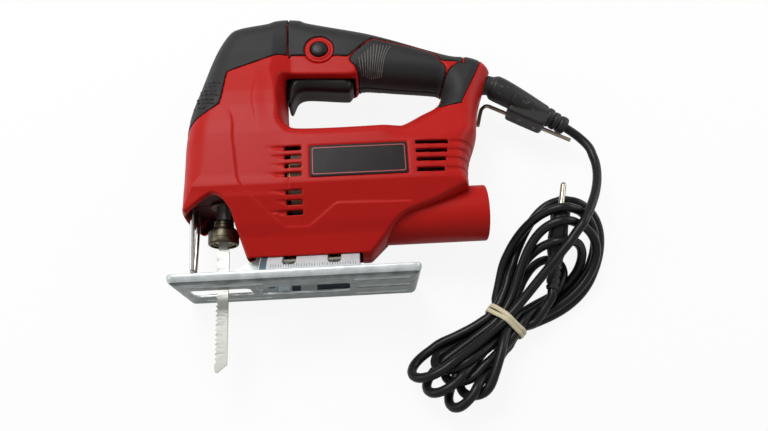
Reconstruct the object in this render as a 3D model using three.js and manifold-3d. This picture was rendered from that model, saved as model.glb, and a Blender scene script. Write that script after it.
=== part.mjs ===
// Jigsaw power tool with its mains cord, lying on its right flank.
//
// Tool axes inside the root group, in millimetres:
//   X runs from the nose to the rear, X = 0 is the blade axis
//   Y runs from the sole to the handle, Y = 0 is the sole's underside
//   Z runs across the tool, Z = 0 is the joint face of the two housing shells
// The root group then sets the right flank's rest face on the plane Z = 0.
import * as THREE from 'three';
import { mergeVertices } from 'three/addons/utils/BufferGeometryUtils.js';
import { LoftGeometry } from 'three/addons/geometries/LoftGeometry.js';
import Module from 'manifold-3d';

const wasm = await Module();
wasm.setup();

// ---------------------------------------------------------------- driving dimensions
const gap = 0.3; // clearance between neighbouring solids
const fine = 10; // sides of a small round
const round = 20; // sides of a large round

const halfWidth = 31; // widest half of the body, and of the sole
const wall = 2.6; // housing wall
const padX = 91; // rest point on the right flank
const padY = 76;

const soleFront = -26.6;
const soleRear = 126.5;
const soleRim = 6.5; // height of the turned-up rim
const soleSheet = 2;
const soleCorner = 5;
const slotHalf = 9.5; // half width of the blade slot
const slotFront = -19.5;
const slotRear = 19;

const cradleRadius = 22.4; // outer radius of the half-round saddle
const cradleSheet = 2;
const cradleFront = 26;
const cradleRear = 89;
const clampFrontX = 44.5;
const clampRearX = 73;
const clampScrewRadius = 2.5;
const tiltRange = 45; // degrees the sole turns each way

const motorY = 70; // motor axis height
const toothModule = 1.25;
const pinionTeeth = 9;
const crankTeeth = 36;
const axleY = motorY + toothModule * (pinionTeeth + crankTeeth) / 2;
const throwRadius = 9; // eccentric of the crank, half the stroke
const plungerRadius = 5;
const crankX = 13; // front face of the crank gear
const gearWidth = 6;
const plateX = 22; // front face of the gearbox plate
const plateThick = 6;
const bearingRadius = 9.5;
const bearingWidth = 5.4;
const shaftRadius = 3.4;
const shaftTip = 2.6;
const rearBearingX = 113;
const statorRadius = 27;
const statorX = 47;
const statorEnd = 87;
const rotorRadius = 15;
const commutatorX = 95;
const commutatorEnd = 107;
const commutatorRadius = 11;

const windowFront = 41.5; // housing edge in front of the trigger
const windowTop = 150; // housing edge above the trigger
const triggerFront = 45;
const triggerRear = 90;
const triggerHalf = 9;
const triggerTop = 155;
const triggerLift = 3.2; // rise at the spring when pulled
const springX = 76;
const springWell = 4.5; // depth of the spring's well in the switch
const switchLow = 160;
const buttonX = 67;
const buttonY = 166;
const buttonRadius = 5.8;
const buttonRing = 9.7;
const buttonTravel = 4;

const tubeRadius = 18.7;
const tubeWall = 2.2;
const tubeY = 46;
const tubeFront = 104;
const tubeRear = 174;

const gripDepth = 2.2; // thickness of the bonded soft grips
const plateFront = 60; // name plate
const plateRear = 122.5;
const plateLow = 65;
const plateHigh = 86.5;
const labelThick = 0.8;

const collarRadius = 10;
const collarTop = 43;
const collarLow = 32;
const coreRadius = 5.6; // clamp end of the plunger
const bladeWidth = 8;
const bladeThick = 1.2;
const bladeTip = -50;

const guardX = -19; // wire guard
const guardLeg = 8;
const guardWire = 1.5;
const guardTop = 60;
const bracketTop = 25.7; // guide roller's bracket, in its pocket under the body
const bracketRear = 25.6;
const bracketTab = 3.7;
const bracketHalf = 4.4;

const glandY = 142.5; // where the cord leaves the handle
const cordDiameter = 6.2;
const tableZ = -halfWidth;
const pinRadius = 2;
const pinLength = 19;
const pinSpacing = 18.6;

// ---------------------------------------------------------------- geometry helpers
function solid(geometry) {
  const bare = new THREE.BufferGeometry();
  bare.setAttribute('position', geometry.attributes.position);
  if (geometry.index) bare.setIndex(geometry.index);
  const merged = mergeVertices(bare, 1e-4);
  return new wasm.Manifold(new wasm.Mesh({
    numProp: 3,
    vertProperties: merged.attributes.position.array,
    triVerts: new Uint32Array(merged.index.array),
  }));
}

function geometryOf(manifold) {
  const mesh = manifold.getMesh();
  const geometry = new THREE.BufferGeometry();
  geometry.setAttribute('position', new THREE.BufferAttribute(mesh.vertProperties, 3));
  geometry.setIndex(new THREE.BufferAttribute(mesh.triVerts, 1));
  return geometry;
}

function box(x0, x1, y0, y1, z0, z1) {
  const geometry = new THREE.BoxGeometry(x1 - x0, y1 - y0, z1 - z0);
  return geometry.translate((x0 + x1) / 2, (y0 + y1) / 2, (z0 + z1) / 2);
}

// Prism of an outline [[x, y], ...] between two heights in Z.
function prismZ(points, z0, z1, holes = []) {
  const wound = (list, clockwise) => {
    const loop = list.map(([x, y]) => new THREE.Vector2(x, y));
    return THREE.ShapeUtils.isClockWise(loop) === clockwise ? loop : loop.reverse();
  };
  const shape = new THREE.Shape(wound(points, false));
  shape.holes = holes.map((hole) => new THREE.Path(wound(hole, true)));
  const geometry = new THREE.ExtrudeGeometry(shape, { depth: z1 - z0, bevelEnabled: false, curveSegments: 6 });
  return geometry.translate(0, 0, z0);
}

// Prism of an outline [[y, z], ...] between two places in X.
function prismX(points, x0, x1, holes = []) {
  const turned = (list) => list.map(([y, z]) => [-z, y]);
  const geometry = prismZ(turned(points), 0, x1 - x0, holes.map(turned));
  return geometry.rotateY(Math.PI / 2).translate(x0, 0, 0);
}

// Prism of an outline [[x, z], ...] between two heights in Y.
function prismY(points, y0, y1, holes = []) {
  const turned = (list) => list.map(([x, z]) => [x, -z]);
  const geometry = prismZ(turned(points), 0, y1 - y0, holes.map(turned));
  return geometry.rotateX(-Math.PI / 2).translate(0, y0, 0);
}

function circle(u, v, radius, sides = round, start = 0, sweep = 2 * Math.PI) {
  const full = sweep >= 2 * Math.PI - 1e-9;
  const count = full ? sides : sides + 1;
  return Array.from({ length: count }, (_, i) => {
    const angle = start + sweep * i / sides;
    return [u + radius * Math.cos(angle), v + radius * Math.sin(angle)];
  });
}

function rectangle(u0, u1, v0, v1, corner = 0, steps = 3) {
  if (corner <= 0) return [[u0, v0], [u1, v0], [u1, v1], [u0, v1]];
  const quarter = Math.PI / 2;
  return [
    ...circle(u0 + corner, v0 + corner, corner, steps, 2 * quarter, quarter),
    ...circle(u1 - corner, v0 + corner, corner, steps, 3 * quarter, quarter),
    ...circle(u1 - corner, v1 - corner, corner, steps, 0, quarter),
    ...circle(u0 + corner, v1 - corner, corner, steps, quarter, quarter),
  ];
}

// Solid of revolution about a line along X, from [[x, r], ...].
function turnedX(profile, y, z, sides = round) {
  const points = profile.map(([x, r]) => new THREE.Vector2(r, -x));
  const geometry = new THREE.LatheGeometry(points.reverse(), sides);
  return geometry.rotateZ(Math.PI / 2).translate(0, y, z);
}

// Solid of revolution about the blade axis, from [[y, r], ...] going up.
function turnedY(profile, sides = round, x = 0, z = 0) {
  const points = profile.map(([y, r]) => new THREE.Vector2(r, y));
  return new THREE.LatheGeometry(points, sides).translate(x, 0, z);
}

function rodZ(x, y, radius, z0, z1, sides = fine) {
  return prismZ(circle(x, y, radius, sides), z0, z1);
}

function rodX(y, z, radius, x0, x1, sides = fine) {
  return prismX(circle(y, z, radius, sides), x0, x1);
}

function union(...parts) {
  return wasm.Manifold.union(parts.map((part) => (part.isBufferGeometry ? solid(part) : part)));
}

function cut(body, ...tools) {
  const start = body.isBufferGeometry ? solid(body) : body;
  return start.subtract(union(...tools));
}

function tubeAlong(points, radius, sides, steps) {
  const path = new THREE.CatmullRomCurve3(points.map((p) => new THREE.Vector3(...p)), false, 'centripetal');
  const section = new THREE.Shape(circle(0, 0, radius, sides).map(([u, v]) => new THREE.Vector2(u, v)));
  return new THREE.ExtrudeGeometry(section, { steps, extrudePath: path, bevelEnabled: false });
}

const root = new THREE.Group();
root.position.set(-padX, -padY, halfWidth);

function add(name, shape, look, group = root) {
  const geometry = shape.isBufferGeometry ? shape : geometryOf(shape);
  const mesh = new THREE.Mesh(geometry, new THREE.MeshStandardMaterial(look));
  mesh.name = name;
  group.add(mesh);
  return mesh;
}

const looks = {
  red: { color: 0xb5322b, roughness: 0.5, metalness: 0 },
  grip: { color: 0x333232, roughness: 0.8, metalness: 0 },
  black: { color: 0x1d1c1c, roughness: 0.6, metalness: 0 },
  galvanised: { color: 0xa8adab, roughness: 0.4, metalness: 1 },
  steel: { color: 0x9a9a98, roughness: 0.35, metalness: 1 },
  collar: { color: 0x6e6450, roughness: 0.45, metalness: 1 },
  laminated: { color: 0x8c8478, roughness: 0.6, metalness: 0.7 },
  copper: { color: 0xb46a3c, roughness: 0.4, metalness: 1 },
  brass: { color: 0xb99b53, roughness: 0.4, metalness: 1 },
  aluminium: { color: 0xb9bbbd, roughness: 0.5, metalness: 1 },
  nylon: { color: 0xd8d4c8, roughness: 0.6, metalness: 0 },
  carbon: { color: 0x2b2b2b, roughness: 0.9, metalness: 0 },
  bronze: { color: 0x8f6b3a, roughness: 0.5, metalness: 1 },
  cord: { color: 0x161616, roughness: 0.5, metalness: 0 },
  band: { color: 0xcdc3a0, roughness: 0.7, metalness: 0 },
};

// ---------------------------------------------------------------- housing form
// Rounded section with n points a quarter: half sizes a and b, squareness by exponent.
function superellipse(a, b, exponent, perQuarter) {
  const count = perQuarter * 4;
  return Array.from({ length: count }, (_, i) => {
    const angle = 2 * Math.PI * i / count;
    const c = Math.cos(angle);
    const s = Math.sin(angle);
    return [
      a * Math.sign(c) * Math.abs(c) ** (2 / exponent),
      b * Math.sign(s) * Math.abs(s) ** (2 / exponent),
    ];
  });
}

// Loft along Y through sections [y, front x, rear x, half width].
function loftUp(sections, inset, exponent) {
  const last = sections.length - 1;
  const rings = sections.map(([y, front, rear, half], index) => {
    const level = y + (index === 0 ? inset : 0) - (index === last ? inset : 0);
    const a = (rear - front) / 2 - inset;
    const middle = (rear + front) / 2;
    const ring = superellipse(a, half - inset, exponent, 3);
    return ring.map(([u, v]) => new THREE.Vector3(middle + u, level, -v));
  });
  return new LoftGeometry(rings, { capStart: true, capEnd: true });
}

// Loft along X through sections [x, low y, high y, half width].
function loftBack(sections, inset, exponent) {
  const last = sections.length - 1;
  const rings = sections.map(([x, low, high, half], index) => {
    const place = x + (index === 0 ? inset : 0) - (index === last ? inset : 0);
    const ring = superellipse((high - low) / 2 - inset, half - inset, exponent, 3);
    return ring.map(([u, v]) => new THREE.Vector3(place, (low + high) / 2 + u, v));
  });
  return new LoftGeometry(rings, { capStart: true, capEnd: true });
}

// Head: from the nose's lower edge up to the crown.
const headSections = [
  [44, -21, 20, 27],
  [52, -24, 24, 29],
  [98, -24.5, windowFront, 31],
  [119, -22, windowFront, 30],
  [140, -16.5, windowFront - 1, 26.5],
  [163, -10, 46, 22],
  [180, -4, 46, 19.5],
  [190, 4, 46, 16],
  [197, 18, 46, 9],
];

// Handle: from the head to the rear pillar.
const handleSections = [
  [36, 154, 197.5, 19],
  [50, windowTop, 196.5, 18.5],
  [70, windowTop, 192, 18.5],
  [91, windowTop - 1, 187, 18],
  [95, 145.5, 186, 17.8],
  [120, 142, 178, 17.8],
  [146, 138.5, 168.5, 17.5],
  [160, 134, 163, 18],
  [174, 130, 159.5, 18.5],
  [183, 134, 155, 16],
  [187, 137, 150, 11],
];

// Pillar: from the body up to the handle's rear end.
const pillarSections = [
  [98, 118, 172.5, 27],
  [108, 122, 174, 23],
  [116, 134, 175.5, 20.5],
  [124, 149, 178, 19],
  [134, 153, 181.5, 18.5],
  [146, 155, 186.5, 17],
  [156, 158, 183, 12],
];

// Body section: flat flank above, tapering in to the cradle below, so that the sole can tilt.
const flankLow = 58.6;
const flankHigh = 94;
const bodyTop = 107;
const bottomHalf = 12;
const bodyBottom = 18.4;
function bodySection(inset) {
  const side = [
    [bodyBottom + inset, bottomHalf - inset * 0.7],
    [flankLow, halfWidth - inset],
    [flankHigh, halfWidth - inset],
    [bodyTop - 5, halfWidth - 5 - inset],
    [bodyTop - inset, halfWidth - 15 - inset],
  ];
  return [...side, ...side.map(([y, z]) => [y, -z]).reverse()];
}

const bodyFront = 6;
const bodyRear = 168;
function bodyForm(inset) {
  const slab = solid(prismX(bodySection(inset), bodyFront + inset, bodyRear - inset));
  const outline = [
    [bodyFront, 54], [8.5, 50], [10.5, 39], [13.5, 29], [17.5, 17],
    [97, 17], [107, 27], [119, 39], [141, 47], [163, 57],
    [165.5, 70], [167.5, 80], [170, 88], [173, 96], [173, 110], [bodyFront, 110],
  ];
  const side = solid(prismZ(outline, -40, 40));
  // plan view: the flanks draw in towards the rear end
  const plan = [
    [0, -halfWidth], [138, -halfWidth], [158, -27], [168, -20],
    [168, 20], [158, 27], [138, halfWidth], [0, halfWidth],
  ];
  const top = solid(prismY(plan, 0, 120));
  if (inset === 0) return slab.intersect(side).intersect(top);
  const shrunk = side.intersect(side.translate([inset, 0, 0])).intersect(side.translate([-inset, 0, 0]));
  const drawn = shrunk.intersect(side.translate([0, inset, 0])).intersect(side.translate([-inset, inset, 0]));
  return slab.intersect(drawn).intersect(top.translate([-inset, 0, 0]));
}

function form(inset) {
  return union(
    loftUp(headSections, inset, 3.2),
    loftBack(handleSections, inset, 2.6),
    loftUp(pillarSections, inset, 2.8),
    bodyForm(inset),
  );
}

const outer = form(0);
const inner = form(wall);
const gripBed = form(gripDepth);
const gripFloor = form(gripDepth - gap);

// ---------------------------------------------------------------- grip outlines, side view
const gripOutlines = {
  front_grip: [
    [-60, 100], [-24, 103], [-16, 109], [-1, 119], [2, 125], [4.5, 145],
    [6.5, 148], [22, 154.5], [39, 161.5], [45, 161.5], [45, 230], [-60, 230],
  ],
  top_grip: [
    [45.8, 230], [45.8, 165], [48.5, 162], [57.5, 161.6],
    ...circle(buttonX, buttonY, buttonRing + 0.8, 8, Math.PI * 1.13, -Math.PI * 1.26).slice(1, -1),
    [77, 160.6], [87, 159.8], [102.5, 173.5], [107, 174.5], [143, 164.5],
    [152, 154], [162.5, 153], [168, 158], [168, 230],
  ],
  side_grip: [
    [88.3, 159], [93.5, 148], [94, 120], [149.5, 120], [149.5, 131], [154.5, 145.5],
    [151.5, 153.2], [142.5, 163.7], [107, 173.7], [103, 172.7],
  ],
  rear_grip: [
    [168.7, 230], [168.7, 157.5], [163.5, 152], [155.5, 145], [150.3, 131], [150.3, 124],
    [147.5, 117.5], [163.5, 119], [166, 123], [179, 151], [179, 230],
  ],
};

function gripRegion(name, spread = 0) {
  const prism = solid(prismZ(gripOutlines[name], -60, 60));
  if (spread === 0) return prism;
  const moves = [[spread, 0, 0], [-spread, 0, 0], [0, spread, 0], [0, -spread, 0]];
  return moves.reduce((whole, move) => whole.intersect(prism.translate(move)), prism);
}

// room that holds the whole tool, on either side of the joint face
const roomFront = -100;
const roomRear = 300;
const roomHalf = 100;
const leftHalf = solid(box(roomFront, roomRear, roomFront, roomRear, 0, roomHalf));
const rightHalf = solid(box(roomFront, roomRear, roomFront, roomRear, -roomHalf, 0));
const leftSide = solid(box(roomFront, roomRear, roomFront, roomRear, gap / 2, roomHalf));
const rightSide = solid(box(roomFront, roomRear, roomFront, roomRear, -roomHalf, -gap / 2));

// switch body, in the handle over the trigger
const switchFront = 50;
const switchRear = 86;
const switchHigh = 178;
const switchHalf = 11;

// Dust tube's outside: its front end is cut on a slant, under the motor.
function tubeForm(spread) {
  const slant = [[0, 0], [tubeFront, 0], [tubeFront, 26], [tubeFront + 20, 66], [tubeFront + 20, 100], [0, 100]];
  const cylinder = solid(rodX(tubeY, 0, tubeRadius + spread, 50, tubeRear, 24));
  return cylinder.subtract(solid(prismZ(slant, -50, 50)).translate([-spread, 0, 0]));
}

// ---------------------------------------------------------------- housing interior
const screwRadius = 1.8;
const screwHead = 3.6;
const screwPlaces = [[-16.5, 84], [36, 122], [28, 31], [163, 108]];
const bossRadius = 5;

function vent(x0, x1, y0, y1) {
  return box(x0, x1, y0, y1, -60, 60);
}

const frontVents = [85.5, 79.5, 73.5, 67.5].map((y) => [44, 54.5, y - 1.6, y + 1.6]);
const lowVents = [56.5, 50.5, 44.5].map((y) => [44.5, 54.5, y - 2, y + 2]);
const rearVents = [86, 80, 74, 67].map((y, i) => [128, 149.5 - i * 1.2, y - 1.4, y + 1.4]);

function housingInterior() {
  const ribs = [
    box(plateX - gap, plateX + plateThick + gap, 20, 106, -60, 60),
    box(statorX + 10, statorX + 14, 20, 106, -60, 60),
    box(statorEnd - 9, statorEnd - 5, 20, 106, -60, 60),
    box(rearBearingX - 1, rearBearingX + bearingWidth + 1, 26, 106, -60, 60),
    box(-13, 11.4, 57, 68, -16, 16),
    box(-13, 13, 128, 138, -60, 60),
    box(50, 86, 178, 200, -9, 9),
    box(168, 190, 136, 160, -60, 60),
    ...screwPlaces.map(([x, y]) => rodZ(x, y, bossRadius, -60, 60)),
  ];
  const hollow = inner.subtract(union(...ribs));
  const noseRoom = solid(box(-19, 8.5, 30, 55, -halfWidth + 8, halfWidth - 8));
  const seats = [
    // gearbox plate, dropped in its slot
    prismX(gearboxOutline(gap), plateX - gap, plateX + plateThick + gap),
    rodX(axleY, 0, crankTipRadius() + 1, 5, plateX, round),
    rodX(motorY, 0, statorRadius + gap, statorX - gap, statorEnd + gap, round),
    rodX(motorY, 0, 20, statorX - 20, rearBearingX - 1, round),
    rodX(motorY, 0, bearingRadius + gap, rearBearingX - gap, rearBearingX + bearingWidth + gap, round),
    rodX(motorY, 0, shaftRadius + 1.2, rearBearingX - 2, rearBearingX + 10),
    turnedY([[54, 0], [54, plungerRadius + 1.5], [159, plungerRadius + 1.5], [159, 0]], 16),
    turnedY([[20, 0], [20, collarRadius + 1], [56, collarRadius + 1], [56, 0]], round),
    ...[guardLeg, -guardLeg].map((z) => prismY(circle(guardX, z, guardWire + gap, 8), 40, guardTop + gap)),
    box(bracketRear - bracketTab - gap, bracketRear + gap, 10, bracketTop + gap, -bracketHalf - gap, bracketHalf + gap),
    box(12, bracketRear - bracketTab, 10, 20 + gap, -bracketHalf - gap, bracketHalf + gap),
    turnedY([[58 - gap, 0], [58 - gap, 9 + gap], [68.2, 9 + gap], [68.2, 0]], round),
    turnedY([[128 - gap, 0], [128 - gap, 9 + gap], [138 + gap, 9 + gap], [138 + gap, 0]], round),
    // trigger mouth
    box(triggerFront - 0.6, triggerRear + 0.6, 120, 165, -triggerHalf - 0.5, triggerHalf + 0.5),
    // switch bed
    box(switchFront - gap, switchRear + gap, 160, switchHigh + gap, -switchHalf - gap, switchHalf + gap),
    // cord room from the switch to the gland
    rodX(148, 0, cordDiameter / 2 + 0.6, 85, 168, fine),
    rodX(144, 0, 7.5, 150, 168, fine),
    box(168, 176.6, 137.4, 150.6, -8.3, 8.3),
    rodX(144, 0, 4, 176, 182),
    rodX(glandY - 0.5, 0, 7.7, 179.4, 195),
  ];
  return hollow.add(noseRoom).add(union(...seats));
}

function gearboxOutline(spread) {
  const low = circle(motorY, 0, 25 + spread, 12, Math.PI * 0.62, Math.PI * 0.76);
  const high = circle(axleY, 0, 8 + spread, 8, -Math.PI * 0.4, Math.PI * 0.8);
  return [...low, ...high];
}

function crankTipRadius() {
  return toothModule * crankTeeth / 2 + toothModule * 0.8;
}

function housingShell(side) {
  const half = side > 0 ? leftHalf : rightHalf;
  const archFlank = [
    [-60, 49], [-20.5, 49], [-14, 52], [-8, 55], [-3.5, 57.5], [2, 57], [6, 53.5], [8.6, 49],
    [10.6, 39], [13.5, 29], [17.5, 16], [17.5, 0], [-60, 0],
  ];
  const tools = [
    ...Object.keys(gripOutlines).map((name) => gripRegion(name).subtract(gripBed)),
    housingInterior(),
    solid(prismZ(archFlank, -60, 60)),
    solid(rodX(0, 0, cradleRadius + gap, cradleFront - 9, cradleRear + 1.5, 48)),
    tubeForm(gap),
    solid(rodX(tubeY - 8, 0, 9, 20, tubeFront + 10, fine)),
    ...[...frontVents, ...lowVents, ...rearVents].map((v) => solid(vent(...v))),
    solid(box(plateFront - gap, plateRear + gap, plateLow - gap, plateHigh + gap,
      halfWidth - labelThick, halfWidth + 5)),
    // clamp screw holes under the body
    ...[clampFrontX, clampRearX].map((x) => solid(prismY(circle(x, 0, clampScrewRadius + gap, fine), 10, 36))),
    ...screwPlaces.map(([x, y]) => solid(rodZ(x, y, screwRadius + gap, -60, 9))),
    ...screwPlaces.map(([x, y]) => solid(rodZ(x, y, screwHead + gap, -60, -12))),
  ];
  let shell = outer;
  if (side > 0) {
    const ring = rodZ(buttonX, buttonY, buttonRing, 8, 19.4, round);
    shell = shell.add(solid(ring));
    tools.push(solid(rodZ(buttonX, buttonY, buttonRadius + gap, 0, 60, round)));
  }
  return tools.reduce((body, tool) => body.subtract(tool), shell.intersect(half));
}

function largest(manifold) {
  const pieces = manifold.decompose();
  return pieces.reduce((best, piece) => (piece.volume() > best.volume() ? piece : best), pieces[0]);
}

function addHousing() {
  add('housing_left', largest(housingShell(1).intersect(leftSide)), looks.red);
  add('housing_right', largest(housingShell(-1).intersect(rightSide)), looks.red);
  const ringRoom = solid(rodZ(buttonX, buttonY, buttonRing + gap, 0, 60, round));
  for (const name of Object.keys(gripOutlines)) {
    const skin = outer.subtract(gripFloor).intersect(gripRegion(name, gap / 2)).subtract(ringRoom);
    if (name === 'front_grip' || name === 'top_grip') {
      add(name, largest(skin), looks.grip);
    } else {
      add(`${name}_left`, largest(skin.intersect(leftSide)), looks.grip);
      add(`${name}_right`, largest(skin.intersect(rightSide)), looks.grip);
    }
  }
  const label = rectangle(plateFront, plateRear, plateLow, plateHigh, 1.5);
  add('name_plate', prismZ(label, halfWidth - labelThick + 0.05, halfWidth - 0.05), looks.black);
}

function addScrews() {
  screwPlaces.forEach(([x, y], index) => {
    const screw = union(
      rodZ(x, y, screwHead, -14.6, -12.3),
      rodZ(x, y, screwRadius, -13, 8.5, 8),
    );
    add(`housing_screw_${index + 1}`, cut(screw, rodZ(x, y, 1.4, -20, -13.2, 6)), looks.steel);
  });
}

// ---------------------------------------------------------------- motor
function gearOutline(teeth, phase) {
  const pitch = toothModule * teeth / 2;
  const tip = pitch + 0.8 * toothModule;
  const rootRadius = pitch - 1.1 * toothModule;
  const points = [];
  for (let i = 0; i < teeth; i += 1) {
    const middle = phase + 2 * Math.PI * i / teeth;
    const atRoot = 0.27 * 2 * Math.PI / teeth;
    const atTip = 0.1 * 2 * Math.PI / teeth;
    const corners = [[rootRadius, -atRoot], [tip, -atTip], [tip, atTip], [rootRadius, atRoot]];
    for (const [r, turn] of corners) {
      points.push([r * Math.cos(middle + turn), r * Math.sin(middle + turn)]);
    }
  }
  return points;
}

function shifted(points, y) {
  return points.map(([u, v]) => [u + y, v]);
}

function addMotor() {
  const rear = rearBearingX + bearingWidth;
  add('armature_shaft', turnedX([
    [crankX - 1, 0], [crankX - 1, shaftTip], [plateX - 0.5, shaftTip], [plateX - 0.5, shaftRadius],
    [rear + 1.5, shaftRadius], [rear + 1.5, 0],
  ], motorY, 0, fine), looks.steel);

  const pinion = shifted(gearOutline(pinionTeeth, 0), motorY);
  add('pinion', prismX(pinion, crankX, crankX + gearWidth + 1,
    [circle(motorY, 0, shaftTip + 0.2, fine)]), looks.steel);

  const ringBearing = (x) => prismX(circle(motorY, 0, bearingRadius), x, x + bearingWidth,
    [circle(motorY, 0, shaftRadius + 0.2, fine)]);
  add('bearing_front', ringBearing(plateX + gap), looks.steel);
  add('bearing_rear', ringBearing(rearBearingX), looks.steel);

  // fan: a hub and a disc with blades on its front face
  const fanDisc = 41;
  const fanFront = 32;
  const fanRadius = 23;
  const blades = Array.from({ length: 8 }, (_, i) => {
    const blade = box(fanFront, fanDisc + 0.5, 8, fanRadius - 1, -0.8, 0.8);
    return blade.rotateX(2 * Math.PI * i / 8).translate(0, motorY, 0);
  });
  const fan = union(
    rodX(motorY, 0, fanRadius, fanDisc, fanDisc + 2, round),
    rodX(motorY, 0, 8.5, fanFront, fanDisc + 1, fine),
    ...blades,
  );
  add('cooling_fan', cut(fan, rodX(motorY, 0, shaftRadius + 0.2, 0, 60)), looks.nylon);

  // stator: ring with two pole shoes above and below the rotor, pockets for the coils at the sides
  const bore = rotorRadius + 0.8;
  const pocket = 22;
  const pocketHalf = 0.72; // radians each side of the Z axis
  const hole = [
    ...circle(motorY, 0, pocket, 6, Math.PI / 2 - pocketHalf, 2 * pocketHalf),
    ...circle(motorY, 0, bore, 6, Math.PI / 2 + pocketHalf, Math.PI - 2 * pocketHalf),
    ...circle(motorY, 0, pocket, 6, 1.5 * Math.PI - pocketHalf, 2 * pocketHalf),
    ...circle(motorY, 0, bore, 6, 1.5 * Math.PI + pocketHalf, Math.PI - 2 * pocketHalf),
  ];
  add('stator_core', prismX(circle(motorY, 0, statorRadius), statorX, statorEnd, [hole]), looks.laminated);
  for (const [name, middle] of [['field_coil_left', Math.PI / 2], ['field_coil_right', 1.5 * Math.PI]]) {
    const half = pocketHalf - 0.03;
    const coil = [
      ...circle(motorY, 0, pocket - 0.4, 6, middle - half, 2 * half),
      ...circle(motorY, 0, bore + 0.4, 6, middle + half, -2 * half),
    ];
    add(name, prismX(coil, statorX - 2.5, statorEnd + 3), looks.copper);
  }

  const sleeve = [circle(motorY, 0, shaftRadius + 0.2, fine)];
  const slots = Array.from({ length: 10 }, (_, i) => {
    const slot = box(0, 200, rotorRadius - 2, rotorRadius + 1, -0.9, 0.9);
    return slot.rotateX(2 * Math.PI * i / 10).translate(0, motorY, 0);
  });
  const stack = prismX(circle(motorY, 0, rotorRadius, 20), statorX + 2, statorEnd - 2, sleeve);
  const windings = prismX(circle(motorY, 0, 12.4, 16), statorX - 3, commutatorX - gap, sleeve);
  add('wound_armature', cut(stack, ...slots).add(solid(windings)), looks.laminated);
  add('commutator', prismX(circle(motorY, 0, commutatorRadius), commutatorX, commutatorEnd, sleeve), looks.copper);

  for (const [name, side] of [['left', 1], ['right', -1]]) {
    const z0 = commutatorRadius + gap;
    const z1 = 23;
    const brush = box(98, 104, motorY - 3, motorY + 3, z0, z1);
    const shellBox = cut(
      box(96.4, 105.6, motorY - 4.6, motorY + 4.6, 13.5, halfWidth - wall - gap),
      box(98 - gap, 104 + gap, motorY - 3 - gap, motorY + 3 + gap, 0, z1 + gap),
    );
    const turn = side > 0 ? 0 : Math.PI;
    const place = (shape) => shape.translate(0, -motorY, 0).rotateX(turn).translate(0, motorY, 0);
    add(`brush_${name}`, place(brush), looks.carbon);
    add(`brush_holder_${name}`, place(geometryOf(shellBox)), looks.brass);
  }
}

// ---------------------------------------------------------------- gear drive and plunger
function addDrive() {
  const plate = prismX(gearboxOutline(0), plateX, plateX + plateThick, [
    circle(motorY, 0, bearingRadius + 0.2),
    circle(axleY, 0, 4 + 0.2, fine),
  ]);
  add('gearbox_plate', plate, looks.aluminium);
  add('gear_axle', rodX(axleY, 0, 4, crankX + 1, plateX + plateThick - gap), looks.steel);

  const mesh = Math.PI / crankTeeth; // a tooth space faces the pinion's tooth
  const gear = shifted(gearOutline(crankTeeth, Math.PI + mesh), axleY);
  const wheel = union(
    prismX(gear, crankX, crankX + gearWidth),
    rodX(axleY, 0, 7, crankX + gearWidth - 0.5, plateX - gap, fine),
    rodX(axleY, throwRadius, 2, crankX - 4.2, crankX + 1, fine),
  );
  const bore = rodX(axleY, 0, 4.3, crankX + 0.7, plateX);
  const relief = [180, 300].map((degrees) => {
    const angle = degrees * Math.PI / 180;
    return rodX(axleY + 14 * Math.cos(angle + 0.5), 14 * Math.sin(angle + 0.5), 3, 0, plateX, 8);
  });
  add('crank_gear', cut(wheel, bore, ...relief), looks.steel);
  add('crank_roller', prismX(circle(axleY, throwRadius, 4, 16), crankX - 4, crankX - gap,
    [circle(axleY, throwRadius, 2.3, fine)]), looks.steel);

  // plunger: rod, and a yoke plate with a cross slot facing the crank roller
  const yokeRear = crankX - 4.2 - 0.6;
  const clampCore = turnedY([
    [collarLow + 2, 0], [collarLow + 2, coreRadius], [collarTop - 3, coreRadius],
    [collarTop - 3, coreRadius + 1], [collarTop, coreRadius + 1], [collarTop, 0],
  ], 16);
  const plunger = union(
    turnedY([[collarTop - 1, 0], [collarTop - 1, plungerRadius], [148, plungerRadius], [148, 0]], 16),
    box(3, yokeRear, axleY - 8, axleY + 8, -17, 17),
    clampCore,
  );
  const shank = box(-3.4, 3.4, 0, collarTop - 1.5, -bladeThick / 2 - gap, bladeThick / 2 + gap);
  const slot = box(plungerRadius + 0.4, 20, axleY - 4.4, axleY + 4.4, -13.5, 13.5);
  add('plunger', cut(plunger, slot, shank), looks.steel);

  const bush = (y0, y1) => cut(
    turnedY([[y0, 0], [y0, 9], [y1, 9], [y1, 0]], round),
    turnedY([[y0 - 1, 0], [y0 - 1, plungerRadius + gap], [y1 + 1, plungerRadius + gap], [y1 + 1, 0]], 16),
  );
  add('plunger_bush_lower', bush(58, 68 - gap), looks.bronze);
  add('plunger_bush_upper', bush(128, 138), looks.bronze);
}

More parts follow.
